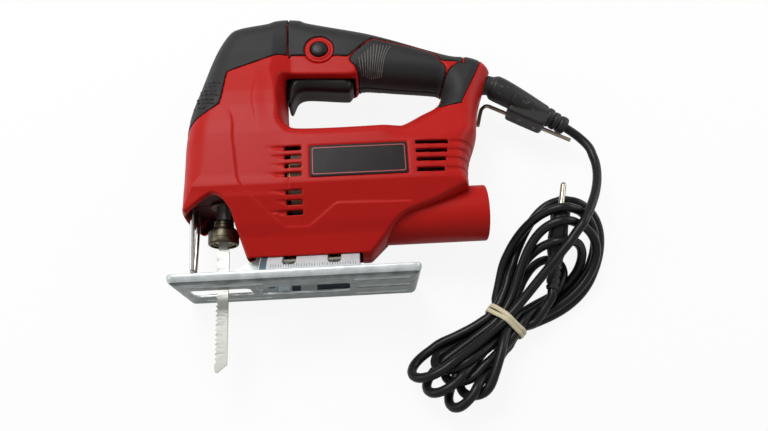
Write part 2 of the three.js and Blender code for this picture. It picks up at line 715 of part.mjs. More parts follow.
// ---------------------------------------------------------------- blade clamp and blade
function addBlade() {
  // the collar turns round the plunger's clamp end against its spring
  const bore = coreRadius + gap;
  const collar = turnedY([
    [collarLow, bore + 2.2], [collarLow, collarRadius - 0.8], [collarLow + 0.8, collarRadius],
    [collarTop - 3.6, collarRadius], [collarTop - 2.4, collarRadius - 1.6],
    [collarTop - 2.4, bore + 1], [collarTop - 3 - gap, bore + 1],
    [collarTop - 3 - gap, bore], [collarLow + 5, bore], [collarLow + 5, bore + 2.2],
    [collarLow, bore + 2.2],
  ], round);
  add('blade_collar', collar, looks.collar);

  const springRing = turnedY([
    [collarLow + 0.6, bore], [collarLow + 0.6, bore + 1.8],
    [collarLow + 4.7, bore + 1.8], [collarLow + 4.7, bore], [collarLow + 0.6, bore],
  ], 12);
  add('collar_spring', springRing, looks.steel);

  // blade: T shank, body, slanted tip; teeth along the front edge
  const half = bladeWidth / 2;
  const toothPitch = 3;
  const teeth = [];
  for (let y = 22; y - toothPitch > bladeTip + 6; y -= toothPitch) {
    teeth.push([-half, y], [-half + 1.1, y - 0.5 * toothPitch]);
  }
  const outline = [
    [3, collarTop - 1.9], [-3, collarTop - 1.9], [-3, 30], [-half, 27],
    ...teeth, [-half, bladeTip + 6], [-half + 0.5, bladeTip + 1.2], [-half + 1.3, bladeTip],
    [half, bladeTip + 5], [half, 27], [3, 30],
  ];
  add('saw_blade', prismZ(outline, -bladeThick / 2, bladeThick / 2), looks.steel);
}

// ---------------------------------------------------------------- guard and guide roller
function addGuides() {
  const guardLow = 13.1;
  const straight = guardLow + 4;
  const bend = (sign) => [0.35, 0.75, 1.15].map((a) => [
    guardX, straight - 4 * Math.sin(a), sign * (guardLeg - 4 + 4 * Math.cos(a)),
  ]);
  const points = [
    [guardX, guardTop, guardLeg], [guardX, 40, guardLeg], [guardX, straight, guardLeg], ...bend(1),
    ...bend(-1).reverse(), [guardX, straight, -guardLeg], [guardX, 40, -guardLeg],
    [guardX, guardTop, -guardLeg],
  ];
  add('wire_guard', tubeAlong(points, guardWire, 6, 26), looks.steel);

  // bracket: an arm under the body that ends in a fork for the roller
  const rollerX = 4 + gap + 4.7;
  const rollerY = 9.4;
  const fork = prismZ([
    [rollerX - 2.6, rollerY - 2.8], [rollerX + 2.6, rollerY - 2.8], [bracketRear, 15.5],
    [bracketRear, bracketTop], [bracketRear - bracketTab, bracketTop], [bracketRear - bracketTab, 20],
    [rollerX + 4, 15.8], [rollerX - 2.6, rollerY + 3],
  ], -bracketHalf, bracketHalf);
  const forked = cut(fork, box(rollerX - 10, rollerX + 5.4, 0, rollerY + 6.2, -2.9, 2.9));
  const bracket = forked.add(solid(rodZ(rollerX, rollerY, 1.5, -bracketHalf + 0.2, bracketHalf - 0.2)));
  add('guide_bracket', bracket, looks.galvanised);
  const roller = cut(
    rodZ(rollerX, rollerY, 4.7, -2.6, 2.6, 20),
    rodZ(rollerX, rollerY, 1.5 + 0.2, -10, 10),
  );
  add('guide_roller', roller, looks.steel);
}

// ---------------------------------------------------------------- sole and tilt cradle
function addSole() {
  const plan = rectangle(soleFront, soleRear, -halfWidth, halfWidth, soleCorner, 4);
  const pan = rectangle(soleFront + soleSheet, soleRear - soleSheet,
    -halfWidth + soleSheet, halfWidth - soleSheet, soleCorner - soleSheet, 4);
  const slot = rectangle(slotFront, slotRear, -slotHalf, slotHalf, 3, 3);
  const access = rectangle(slotRear + 5, cradleRear - 7, -11, 11, 4, 3);
  const beads = [
    rectangle(-16, 30, 16.5, 21.5, 2.4, 2),
    rectangle(84, 118, 16.5, 21.5, 2.4, 2),
    rectangle(-16, 30, -21.5, -16.5, 2.4, 2),
    rectangle(84, 118, -21.5, -16.5, 2.4, 2),
    rectangle(90, 122, -2.5, 2.5, 2.4, 2),
  ];
  const plate = cut(prismY(plan, 0, soleRim),
    prismY(pan, soleSheet, soleRim + 5),
    prismY(slot, -5, 20),
    prismY(access, -5, 20),
    ...beads.map((bead) => prismY(bead, -5, 0.9)));
  add('sole_plate', plate, looks.galvanised);

  // saddle: half tube whose feet stand on the plate
  const foot = soleSheet + gap / 2;
  const arc = (radius, sign) => {
    const rise = Math.asin(foot / radius);
    return circle(0, 0, radius, 18, sign * (rise - Math.PI / 2), sign * (Math.PI - 2 * rise));
  };
  const arch = [...arc(cradleRadius, 1), ...arc(cradleRadius - cradleSheet, -1)];
  const slotAngle = (tiltRange + 12) * Math.PI / 180;
  const screwSlots = [clampFrontX, clampRearX].map((x) => box(
    x - clampScrewRadius - 0.5, x + clampScrewRadius + 0.5,
    cradleRadius * Math.cos(slotAngle), 40, -30, 30,
  ));
  const saddle = cut(prismX(arch, cradleFront, cradleRear), ...screwSlots);
  add('tilt_cradle', saddle, looks.galvanised);

  for (const [name, x] of [['front', clampFrontX], ['rear', clampRearX]]) {
    const under = cradleRadius - cradleSheet;
    const washerTop = under - 1.1;
    const screw = union(
      turnedY([[washerTop - 4.5, 0], [washerTop - 4.5, 4.6], [washerTop - 1.4, 4.6], [washerTop - 1.4, 5.6],
        [washerTop, 5.6], [washerTop, 0]], 16, x),
      turnedY([[washerTop - 1, 0], [washerTop - 1, clampScrewRadius], [35, clampScrewRadius], [35, 0]], 8, x),
    );
    const socket = turnedY([[0, 0], [0, 2.4], [washerTop - 2, 2.4], [washerTop - 2, 0]], 6, x);
    add(`clamp_screw_${name}`, cut(screw, socket), looks.steel);
  }
}

// ---------------------------------------------------------------- dust tube
function addDustTube() {
  add('dust_tube', cut(tubeForm(0), rodX(tubeY, 0, tubeRadius - tubeWall, 0, tubeRear + 30, 24)), looks.red);
}

// ---------------------------------------------------------------- trigger, switch, lock button
function addControls() {
  const trigger = prismZ([
    [triggerFront, 131], [triggerFront + 2, 129], [triggerFront + 4.5, 130.5], [51, 139.5], [54, 141],
    [84, 138], [87.5, 139.5], [triggerRear, 145], [triggerRear - 0.6, triggerTop],
    [triggerFront + 9, triggerTop], [triggerFront + 5, triggerTop + 1.4], [triggerFront + 1.8, triggerTop + 1.4],
    [triggerFront, triggerTop - 1],
  ], -triggerHalf, triggerHalf);
  add('trigger', trigger, looks.black);
  // return spring: stands on the trigger and enters a well in the switch
  const low = triggerTop + gap;
  const high = switchLow + springWell - triggerLift - gap;
  add('trigger_spring', turnedY([[low, 3], [low, 4], [high, 4], [high, 3], [low, 3]], fine, springX), looks.steel);
  add('switch_body', cut(
    box(switchFront, switchRear, switchLow, switchHigh - gap, -switchHalf, switchHalf),
    turnedY([[150, 0], [150, 5.8], [switchLow + springWell, 5.8], [switchLow + springWell, 0]], fine, springX),
    rodZ(buttonX, buttonY, 3.2, 11 - buttonTravel - 1, 20),
  ), looks.black);
  const button = union(
    rodZ(buttonX, buttonY, buttonRadius, 11 + buttonTravel + 0.6, 20.4, round),
    rodZ(buttonX, buttonY, 2.5, 11 + gap, 16),
  );
  add('lock_button', button, looks.black);
}

// ---------------------------------------------------------------- cord and what is on it
const sleevePath = [
  [180.6, glandY, 0], [188, 141.4, 0], [204, 132.4, -2], [222, 122.4, -6.2], [241, 112.5, -12],
];
// narrow where it passes the shells, thick behind them, and tapering to the lead
const sleeveRadii = [6.6, 6.7, 9, 8.8, 8.4, 7.9, 7.5, 7.1, 6.7, 6.3, 5.8];
const cordPath = [
  [241.6, 112.2, -12.2], [247, 109, -14.2], [254.5, 100, -19.8], [258.8, 90, -24], [261, 80, -26.8],
  [261.5, 70, -27.7], [260, 60, -27.7], [256.5, 50, -27.7],
];

function sleeveForm(spread) {
  const curve = new THREE.CatmullRomCurve3(
    sleevePath.map((p) => new THREE.Vector3(...p)), false, 'centripetal');
  const steps = sleeveRadii.length - 1;
  const frames = curve.computeFrenetFrames(steps, false);
  const rings = [];
  for (let i = 0; i <= steps; i += 1) {
    const radius = sleeveRadii[i] + spread;
    const centre = curve.getPointAt(i / steps);
    const ring = circle(0, 0, radius, fine).map(([u, v]) => centre.clone()
      .addScaledVector(frames.normals[i], u)
      .addScaledVector(frames.binormals[i], v));
    rings.push(ring);
  }
  return new LoftGeometry(rings, { capStart: true, capEnd: true });
}

function addCord() {
  add('cord_sleeve', sleeveForm(0), looks.black);
  const meets = union(...[[gap, 0], [-gap, 0], [0, gap], [0, -gap]].map(([x, y]) => (
    prismZ(bundleOutline, tableZ - 1, tableZ + 40).translate(x, y, 0))));
  add('power_cord', largest(cut(tubeAlong(cordPath, cordDiameter / 2, 8, 14), meets)), looks.cord);

  // clamp bar over the cord inside the handle's rear end
  add('cord_clamp', cut(box(168.4, 176.3, 137.7, 150.3, -8, 8), rodX(144, 0, 4, 160, 180)), looks.nylon);
}

function plugAxes() {
  const along = new THREE.Vector3(0.24, 0.97, 0).normalize();
  const turn = 103 * Math.PI / 180;
  const across = new THREE.Vector3(along.y * Math.cos(turn), -along.x * Math.cos(turn), Math.sin(turn));
  const matrix = new THREE.Matrix4().makeBasis(across, new THREE.Vector3().crossVectors(along, across), along);
  matrix.setPosition(228.8, 47.8, tableZ + pinSpacing / 2 + 8.4);
  return matrix;
}

// Plug body in its own axes: pins along +Z, wide side along X. spread grows it all round.
function plugForm(spread) {
  const half = pinSpacing / 2 + 8.2 + spread;
  const thin = 6.8 + spread;
  const ring = (a, b, z) => superellipse(a, b, 3, 4).map(([u, v]) => new THREE.Vector3(u, v, z));
  const rings = [
    ring(4.2 + spread, 4.2 + spread, -55 - spread),
    ring(5.2 + spread, 5.2 + spread, -32),
    ring(10 + spread, thin, -26),
    ring(half, thin, -12),
    ring(half, thin, spread),
  ];
  return new LoftGeometry(rings, { capStart: true, capEnd: true });
}

const bundleOutline = new THREE.CatmullRomCurve3([
  [176, -12], [182, 8], [191, 25], [203, 43], [214, 54], [227, 63], [245, 65], [258, 58], [263, 42],
  [260, 24], [251, 5], [234, -14], [212, -27], [193, -36], [188, -47], [176, -60], [158, -71], [141, -77],
  [126, -66], [117, -52], [127, -44], [150, -30], [170, -21],
].map(([x, y]) => new THREE.Vector3(x, y, 0)), true).getPoints(46).slice(0, -1).map((p) => [p.x, p.y]);

function addBundle() {
  const place = plugAxes();
  add('mains_plug', plugForm(0).applyMatrix4(place), looks.black);
  for (const [name, side] of [['plug_pin_1', 1], ['plug_pin_2', -1]]) {
    const pin = turnedY([[gap, 0], [gap, pinRadius], [pinLength - 1, pinRadius], [pinLength, pinRadius - 0.8],
      [pinLength, 0]], fine).rotateX(Math.PI / 2).translate(side * pinSpacing / 2, 0, 0);
    add(name, pin.applyMatrix4(place), looks.brass);
  }

  const eye = [[197, -2], [208, 20], [222, 43], [240, 50], [250, 42], [246, 24], [232, 6], [212, -8]];
  const bundle = solid(prismZ(bundleOutline, tableZ, tableZ + 17, [eye]));
  const plugRoom = solid(plugForm(0.6).applyMatrix4(place));
  const pinRoom = solid(box(-pinSpacing / 2 - 3, pinSpacing / 2 + 3, -3, 3, 0, pinLength + 1)
    .applyMatrix4(place));
  const tieRoom = solid(box(-3.3, 3.3, -60, 60, -60, 60).rotateZ(tieTurn).translate(184, -24, 0));
  const tieCore = solid(box(-4, 4, -15.2, 15.2, tableZ + 1, tableZ + 18).rotateZ(tieTurn).translate(184, -24, 0));
  const waist = tieRoom.subtract(tieCore);
  add('cord_bundle', largest(bundle.subtract(plugRoom).subtract(pinRoom).subtract(waist)), looks.cord);

  const band = cut(
    box(-2.6, 2.6, -17, 17, tableZ, tableZ + 18.6),
    box(-9, 9, -15.5, 15.5, tableZ + 0.7, tableZ + 17.3),
  );
  add('bundle_tie', geometryOf(band).rotateZ(tieTurn).translate(184, -24, 0), looks.band);
}

const tieTurn = 0.82;

function addKey() {
  // hexagonal key: long arm under the sleeve, short arm down behind the handle
  const flat = 1.5;
  const keyZ = -11;
  const along = new THREE.Vector2(0.881, -0.474);
  const down = new THREE.Vector2(-0.474, -0.881);
  // a place beside the sleeve: how far along it, and how far below its middle
  const beside = (s, o) => [204 + s * along.x + o * down.x, 132.4 + s * along.y + o * down.y];
  const keyOffset = 8.8;
  const points = [
    beside(46, keyOffset), beside(20, keyOffset), beside(-2, keyOffset), beside(-12, keyOffset),
    beside(-15.5, keyOffset + 0.2), beside(-17.6, keyOffset + 2), beside(-17.8, keyOffset + 5),
    [178.6, 118.2],
  ].map(([x, y]) => [x, y, keyZ]);
  add('hex_key', tubeAlong(points, flat, 6, 20), looks.steel);
  const outline = [
    beside(2, 5), beside(27.5, 5), beside(27.5, 11.5), beside(24, 15), beside(1, 14.5), beside(-1, 12),
  ];
  const block = prismZ(outline, keyZ - 3.5, 1.5);
  const lean = Math.atan2(along.y, along.x);
  const channel = box(-60, 60, -flat - 0.7, flat + 0.7, keyZ - 11, keyZ + flat + gap).rotateZ(lean);
  const [x, y] = beside(0, keyOffset);
  add('key_clip', largest(cut(block, channel.translate(x, y, 0), sleeveForm(gap))), looks.black);
}

addHousing();
addScrews();
addMotor();
addDrive();
addBlade();
addGuides();
addSole();
addDustTube();
addControls();
addCord();
addBundle();
addKey();

export default root;
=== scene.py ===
import bmesh
import bpy
import math
import numpy as np
import openvdb
from mathutils import Matrix, Vector


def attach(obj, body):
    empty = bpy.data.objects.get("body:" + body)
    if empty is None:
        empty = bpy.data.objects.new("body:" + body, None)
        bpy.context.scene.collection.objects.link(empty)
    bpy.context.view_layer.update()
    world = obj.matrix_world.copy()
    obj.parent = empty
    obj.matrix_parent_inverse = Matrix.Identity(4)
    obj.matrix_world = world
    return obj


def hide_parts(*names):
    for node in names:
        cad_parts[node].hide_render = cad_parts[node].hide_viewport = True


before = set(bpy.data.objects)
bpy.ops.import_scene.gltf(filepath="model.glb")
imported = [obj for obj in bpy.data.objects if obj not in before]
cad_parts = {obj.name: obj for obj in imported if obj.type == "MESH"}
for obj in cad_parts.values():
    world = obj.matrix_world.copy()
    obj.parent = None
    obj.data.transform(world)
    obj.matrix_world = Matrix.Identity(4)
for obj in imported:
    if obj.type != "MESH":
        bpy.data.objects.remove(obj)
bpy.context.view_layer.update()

# -------------------- camera
# Looks down on the tool from a little in front of its sole, as from a stand over a table. Its three
# axes are right, up and back, and it has the slightly wide lens of a hand camera.
scene = bpy.context.scene
camera = bpy.data.objects.new("camera", bpy.data.cameras.new("camera"))
scene.collection.objects.link(camera)
camera.data.lens = 30.94
camera.data.sensor_width = 36
axes = ((0.99838452, -0.05541792, 0.01253786), (0.04831103, 0.94411653, 0.32605217),
        (-0.02990633, -0.32491973, 0.94526863))
turned_to = Matrix(axes).transposed().to_4x4()
camera.matrix_world = Matrix.Translation((0.001963, -0.171786, 0.447877)) @ turned_to
scene.camera = camera

# -------------------- floor and light
# White paper under the tool. One broad soft lamp high behind it, a weaker one from the left, a faint
# one low on the right and an even sky fill the forms without hard edges.
scene.view_settings.view_transform = "Standard"
WHITE = (1, 1, 1, 1)
MIRRORED_SHARE = 0.45


def add(tree, kind, values=(), **looks):
    """Adds a node, with its own settings by name and the values of its inputs by label or number."""
    node = tree.nodes.new(kind)
    for label, value in looks.items():
        setattr(node, label, value)
    for label, value in dict(values).items():
        node.inputs[label].default_value = value
    return node


def wire(giver, out, taker, into):
    """Joins one node's output to another's input."""
    giver.id_data.links.new(giver.outputs[out], taker.inputs[into])


def seen_white(tree):
    """How white the surroundings look: fully when seen or through glass, less in a reflection."""
    rays = add(tree, "ShaderNodeLightPath")
    straight, whole = [add(tree, "ShaderNodeMath", operation="MAXIMUM") for _ in range(2)]
    mirrored = add(tree, "ShaderNodeMath", {1: MIRRORED_SHARE}, operation="MULTIPLY")
    wire(rays, "Is Camera Ray", straight, 0)
    wire(rays, "Is Transmission Ray", straight, 1)
    wire(rays, "Is Glossy Ray", mirrored, 0)
    wire(straight, 0, whole, 0)
    wire(mirrored, 0, whole, 1)
    return whole


sky = bpy.data.worlds.new("sky")
scene.world = sky
sky.use_nodes = True
fill = sky.node_tree.nodes["Background"]
fill.inputs["Color"].default_value = WHITE
fill.inputs["Strength"].default_value = 0.3
shown, either = add(sky.node_tree, "ShaderNodeBackground", {"Color": WHITE}), add(sky.node_tree,
                                                                                  "ShaderNodeMixShader")
wire(seen_white(sky.node_tree), 0, either, 0)
wire(fill, 0, either, 1)
wire(shown, 0, either, 2)
wire(either, 0, sky.node_tree.nodes["World Output"], "Surface")


def lamp(name, place, aim, size, power):
    """A round lamp at a place, turned to shine on another."""
    light = bpy.data.lights.new(name, "AREA")
    light.shape, light.size, light.energy = "DISK", size, power
    holder = bpy.data.objects.new(name, light)
    scene.collection.objects.link(holder)
    turn = (Vector(place) - Vector(aim)).to_track_quat("Z", "Y").to_matrix().to_4x4()
    holder.matrix_world = Matrix.Translation(place) @ turn


lamp("high_lamp", (-0.4, 0.75, 1.25), (0, 0, 0.02), 0.8, 17.0)
lamp("side_lamp", (-1.15, 0.1, 0.65), (0, 0, 0.02), 0.8, 4.0)
lamp("low_lamp", (0.75, 0.25, 0.35), (-0.05, 0.04, 0.03), 0.5, 1.6)


def finish_nodes(name, colour, roughness, metallic=0.0):
    """A new surface and the shader in it."""
    surface = bpy.data.materials.new(name)
    surface.use_nodes = True
    shader = surface.node_tree.nodes["Principled BSDF"]
    shader.inputs["Base Color"].default_value = (*colour, 1)
    shader.inputs["Roughness"].default_value = roughness
    shader.inputs["Metallic"].default_value = metallic
    return surface, shader


FLOOR = -0.0003
ground = bpy.data.meshes.new("ground")
ground.from_pydata([(-6, -6, FLOOR), (6, -6, FLOOR), (6, 6, FLOOR), (-6, 6, FLOOR)], [], [(0, 1, 2, 3)])
ground = bpy.data.objects.new("ground", ground)
scene.collection.objects.link(ground)
paper, face_of_sheet = finish_nodes("white_paper", (0.82, 0.82, 0.82), 0.9)
face_of_sheet.inputs["Specular IOR Level"].default_value = 0.0
glow, blend_in = add(paper.node_tree, "ShaderNodeEmission"), add(paper.node_tree, "ShaderNodeMixShader")
share = add(paper.node_tree, "ShaderNodeMath", {1: 0.9}, operation="MULTIPLY")
wire(seen_white(paper.node_tree), 0, share, 0)
wire(share, 0, blend_in, 0)
wire(face_of_sheet, 0, blend_in, 1)
wire(glow, 0, blend_in, 2)
wire(blend_in, 0, paper.node_tree.nodes["Material Output"], "Surface")
ground.data.materials.append(paper)

# -------------------- cord
# Black rubber mains lead, 6.2 mm thick and whole: from the gland it drops in one bow over the hank,
# goes six times down and up through the tie, and ends in the plug's tail. Extruded rubber, wiped dull.
CORD = 6.2
STRIDE = 2.6
TOOL_IN_MODEL = (-91, -76, 31)


def at(points):
    """The tool's own axes in millimetres (nose to rear, sole to handle, across) to the model's metres."""
    return (np.atleast_2d(np.asarray(points, float)) + TOOL_IN_MODEL) / 1000


def linked(name, data):
    """A new object of the scene around a mesh or a curve."""
    piece = bpy.data.objects.new(name, data)
    scene.collection.objects.link(piece)
    return piece


def put(name, verts, faces, material):
    """A smooth mesh from its points and faces."""
    mesh = bpy.data.meshes.new(name)
    mesh.from_pydata([tuple(v) for v in verts], [], [tuple(f) for f in faces])
    mesh.polygons.foreach_set("use_smooth", [True] * len(mesh.polygons))
    mesh.materials.append(material)
    return linked(name, mesh)


def rounded_run(a, b, c, d, t):
    """A rounded run from b to c on a line that goes on from a and to d, at shares of the way."""
    return 0.5 * (2 * b + (c - a) * t + (2 * a - 5 * b + 4 * c - d) * t**2 + (3 * b - a - 3 * c + d) * t**3)


def reach(line):
    """How far along a line each of its points lies."""
    return np.r_[0, np.cumsum(np.linalg.norm(np.diff(line, axis=0), axis=1))]


def smooth_line(points, step):
    """A rounded line through the points, cut into equal steps."""
    p = np.asarray(points, float)
    p = np.vstack([2 * p[0] - p[1], p, 2 * p[-1] - p[-2]])
    t = np.linspace(0, 1, 24, endpoint=False)[:, None]
    runs = [rounded_run(a, b, c, d, t) for a, b, c, d in zip(p[:-3], p[1:-2], p[2:-1], p[3:])]
    line = np.vstack(runs + [p[-2:-1]])
    far = reach(line)
    even = np.linspace(0, far[-1], max(2, int(round(far[-1] / step)) + 1))
    return np.column_stack([np.interp(even, far, line[:, k]) for k in range(3)])


TIE = np.array([184.0, -24.0])
TIE_ALONG, TIE_ACROSS = np.array([0.68, 0.733]), np.array([-0.733, 0.68])
LOW = -31 + CORD / 2


def slot(row, across, lead):
    """A place in the tie: a row of the pile (0 lies on the floor), and how far along the hank."""
    return [*(TIE + TIE_ACROSS * across + TIE_ALONG * lead), LOW + 5.4 * row]


def fold(tip, aim, radius, low, high):
    """A turn at the hank's short end, from its right leg to its left, standing in a plane that leans left."""
    u = np.array([math.cos(math.radians(aim)), math.sin(math.radians(aim))])
    left = np.array([u[1], -u[0]])
    wide = math.sqrt(radius**2 - ((high - low) / 2) ** 2)
    turn = []
    for a in (105, 80, 50, 25, 0, -25, -50, -80, -105):
        a = math.radians(a)
        spot = np.array(tip) - radius * u + radius * u * math.cos(a) - wide * left * math.sin(a)
        turn.append([*spot, (low + high) / 2 + (high - low) / 2 * math.sin(a)])
    return turn


# each bow of the long end goes up on the left, over the plug and down on the right
bows = [
    [(186.5, -2, -23), (190, 10, -22.5), (195, 21, -22.5), (201, 31, -22.5), (207.4, 41, -21),
     (213.5, 50, -18), (219.5, 55.5, -11), (225.2, 57.6, -3), (231, 58.2, 0.5), (238.5, 58, -4),
     (246.8, 56.4, -12), (253.8, 52.6, -19), (258.8, 45.5, -24), (260, 36.5, -27), (258, 26.5, LOW),
     (253, 15.8, LOW), (245.6, 4.5, LOW), (236.2, -5.6, LOW), (224.5, -14.5, LOW), (210.4, -22, LOW)],
    [(179.5, -6, LOW), (183, 7.6, LOW), (188.8, 20.7, LOW), (197, 32.5, LOW), (205.5, 40, -22),
     (212.5, 43, -11), (218.5, 43.5, 2), (226, 43.3, 7.6), (234.7, 43.3, 2), (243.3, 42.5, -12),
     (250, 37.5, -20), (252.8, 29, -25), (251.3, 19.5, LOW), (247, 8.9, LOW), (239.2, -1.8, LOW),
     (228.3, -10.9, LOW), (216, -18.4, LOW)],
    [(191.5, -4, -22.5), (195, 7.8, -22.5), (198.5, 17.5, -22.5), (203, 26, -21.5), (208.5, 31.5, -17),
     (213.7, 34, -7), (219, 34.5, 4), (224.6, 34.5, 7.6), (232.5, 34.3, 1), (242.2, 33.5, -12),
     (250, 29.5, -18), (253.5, 22, -22.5), (249, 11.5, -22.5), (241.5, 1, -22.5), (231.5, -8.5, -22.5),
     (219.5, -16.5, -22.5), (208, -22.5, -22.5)],
    [(186.5, -8, LOW), (190.5, 2, LOW), (195, 11, LOW), (201, 18.5, LOW), (207.5, 22.5, -20),
     (213.5, 23.5, -7), (219, 23, 0.2), (227.5, 25, -4), (236, 26, -16), (241.7, 22.5, -25),
     (242.3, 14.4, LOW), (237.4, 4.8, LOW), (229.8, -3.2, LOW), (220.6, -10, LOW), (211.1, -16.4, LOW)],
    [(192.5, -8, LOW), (196, 2, LOW), (200.5, 11, LOW), (206.5, 18, LOW), (214, 21.5, LOW), (222.2, 22, LOW),
     (229, 19.5, LOW), (233.2, 13, LOW), (232.6, 4.5, LOW), (226.5, -5, LOW), (218.6, -12.5, LOW),
     (208, -20.6, LOW)],
]
slots = [((2, 9.3), (0, -9.3)), ((0, 9.3), (0, -3.1)), ((2, 3.1), (1, -6.2)), ((0, 3.1), (2, -3.1)),
         ((1, 6.2), (2, -9.3))]
folds = [fold(tip, aim, radius, LOW, high) for tip, aim, radius, high in (
    ((115.5, -57), 201, 15.5, -3), ((141.5, -80.5), 236, 15.5, -4), ((125.5, -68.5), 217, 15.5, -3),
    ((132, -54), 208, 15, -6), ((148, -71), 231, 15, -6), ((138, -61), 219, 15, -6))]
PLUG_FACE = np.array([228.8, 47.8, -13.3])
PLUG_ALONG = np.array([0.24, 0.97, 0]) / math.hypot(0.24, 0.97)
LEAN = math.radians(103)
PLUG_ACROSS = np.array([PLUG_ALONG[1] * math.cos(LEAN), -PLUG_ALONG[0] * math.cos(LEAN), math.sin(LEAN)])
PLUG_FORM = [(-55, 4.2, 4.2), (-32, 5.2, 5.2), (-26, 10, 6.8), (-12, 17.5, 6.8), (0, 17.5, 6.8)]
PIN_GAP = 9.3
tail = PLUG_FACE - 55 * PLUG_ALONG

in_sleeve = [(188, 141.4, 0), (204, 132.4, -2), (222, 122.4, -6.2)]
route = [(181, 142.5, 0), *in_sleeve, (240.5, 112.4, -12), (250, 105, -13.5), (256, 96, -12.5),
         (257.6, 87, -11.5), (257, 74, -9), (252.4, 61, -5), (245.5, 49.5, -1), (237.5, 37.5, 3),
         (229, 26.5, 5), (219.6, 15.5, 4.5), (212, 7, 1.5), (205.5, 0.2, -3), (199, -6.8, -8),
         (193.6, -12.7, -13), slot(3, 0, 4), slot(3, 0, -4), (170.5, -33, -14), (161.5, -40, -10.5),
         (151, -46, -6)]
for turn, (into, out), bow in zip(folds, slots, bows):
    route += turn + [slot(*into, -5), slot(*into, 5)] + bow + [slot(*out, 5), slot(*out, -5)]
route += folds[-1] + [slot(1, -11.5, -5), slot(1, -11.5, 5), (201, -24.5, -22.5), (208, -19.5, -20)]
route += [tuple(tail + PLUG_ALONG * lead) for lead in (-6, -1.5, 3)]


def settled(line, rounds):
    """Lets the lead lie down: strands press apart, sag on what is under them and draw themselves smooth."""
    p, wish = line.copy(), line.copy()
    count = len(p)
    free = np.interp(np.arange(count) * STRIDE, [100, 200], [0.0, 1])
    free[-14:] = np.linspace(1, 0, 14)
    free[-5:] = 0
    weight = np.clip((wish[:, 1] + 12) / 20, 0, 1)
    # the plug and its pins, as balls that the strands keep off
    balls, sizes = [], []
    for s in np.arange(-46, 0.1, 2.0):
        a, b = [np.interp(s, [f[0] for f in PLUG_FORM], [f[k] for f in PLUG_FORM]) for k in (1, 2)]
        for t in np.linspace(-(a - b), a - b, 1 if a == b else 7):
            balls.append(PLUG_FACE + s * PLUG_ALONG + t * PLUG_ACROSS)
            sizes.append(min(a, b))
    for side in (-PIN_GAP, PIN_GAP):
        for s in np.arange(0.5, 19, 1.5):
            balls.append(PLUG_FACE + s * PLUG_ALONG + side * PLUG_ACROSS)
            sizes.append(2.0)
    balls, sizes = np.array(balls), np.array(sizes) + CORD / 2
    rows = np.arange(count)
    for turn in range(rounds):
        late = turn / rounds
        if turn % 8 == 0:
            gap = ((p[:, None, :] - p[None, :, :]) ** 2).sum(2)
            i, j = np.nonzero(np.triu(gap < (CORD + 5) ** 2, 7))
        # sag, stiffness and the pull towards the route
        p[:, 2] -= 0.05 * free * weight
        p[:, 2] += 0.05 * (wish - p)[:, 2] * free * (1 - weight)
        for k in (1, 4, 1, 6, 2):
            drawn, stiff = np.zeros_like(p), np.zeros_like(p)
            drawn[k:-k] = (p[: -2 * k] + p[2 * k :]) / 2 - p[k:-k]
            stiff[k:-k] = drawn[k:-k] - (drawn[: -2 * k] + drawn[2 * k :]) / 2
            p += (0.2 * stiff + (0.006 * drawn if k == 1 else 0)) * free[:, None]
        p[:, :2] += 0.07 * (wish - p)[:, :2] * free[:, None]
        # strands press each other apart
        apart = p[i] - p[j]
        size = np.linalg.norm(apart, axis=1) + 1e-9
        push = np.maximum(0, CORD + 0.05 - size) * (0.1 + 0.12 * late)
        shove = apart / size[:, None] * push[:, None]
        total = np.zeros_like(p)
        for k in range(3):
            total[:, k] += np.bincount(i, shove[:, k], count) - np.bincount(j, shove[:, k], count)
        p += total * free[:, None]
        away = p[:, None, :] - balls[None]
        size = np.linalg.norm(away, axis=2) + 1e-9
        over = np.maximum(0, sizes[None] - size)
        worst = over.argmax(1)
        press = away[rows, worst] / size[rows, worst][:, None] * over[rows, worst][:, None]
        p += press * (free > 0)[:, None] * 0.7
        # the tie holds them together, the floor bears them, and the steps stay even
        away = p[:, :2] - TIE
        along, across = away @ TIE_ALONG, away @ TIE_ACROSS
        close = np.clip(1.6 - np.abs(along) / 6, 0, 1) * (np.abs(across) < 30)
        over = np.sign(across) * np.maximum(0, np.abs(across) - 10.6) * close
        p[:, :2] -= over[:, None] * TIE_ACROSS[None]
        p[:, 2] -= np.maximum(0, p[:, 2] - (LOW + 16.4)) * close * 0.5
        p[:, 2] = np.maximum(p[:, 2], LOW)
        seg = np.diff(p, axis=0)
        size = np.linalg.norm(seg, axis=1)[:, None]
        even = seg * (1 - size.mean() / size) * 0.4
        p[:-1] += even * free[:-1, None]
        p[1:] -= even * free[1:, None]
    return p


line = settled(smooth_line(route, STRIDE), 420)


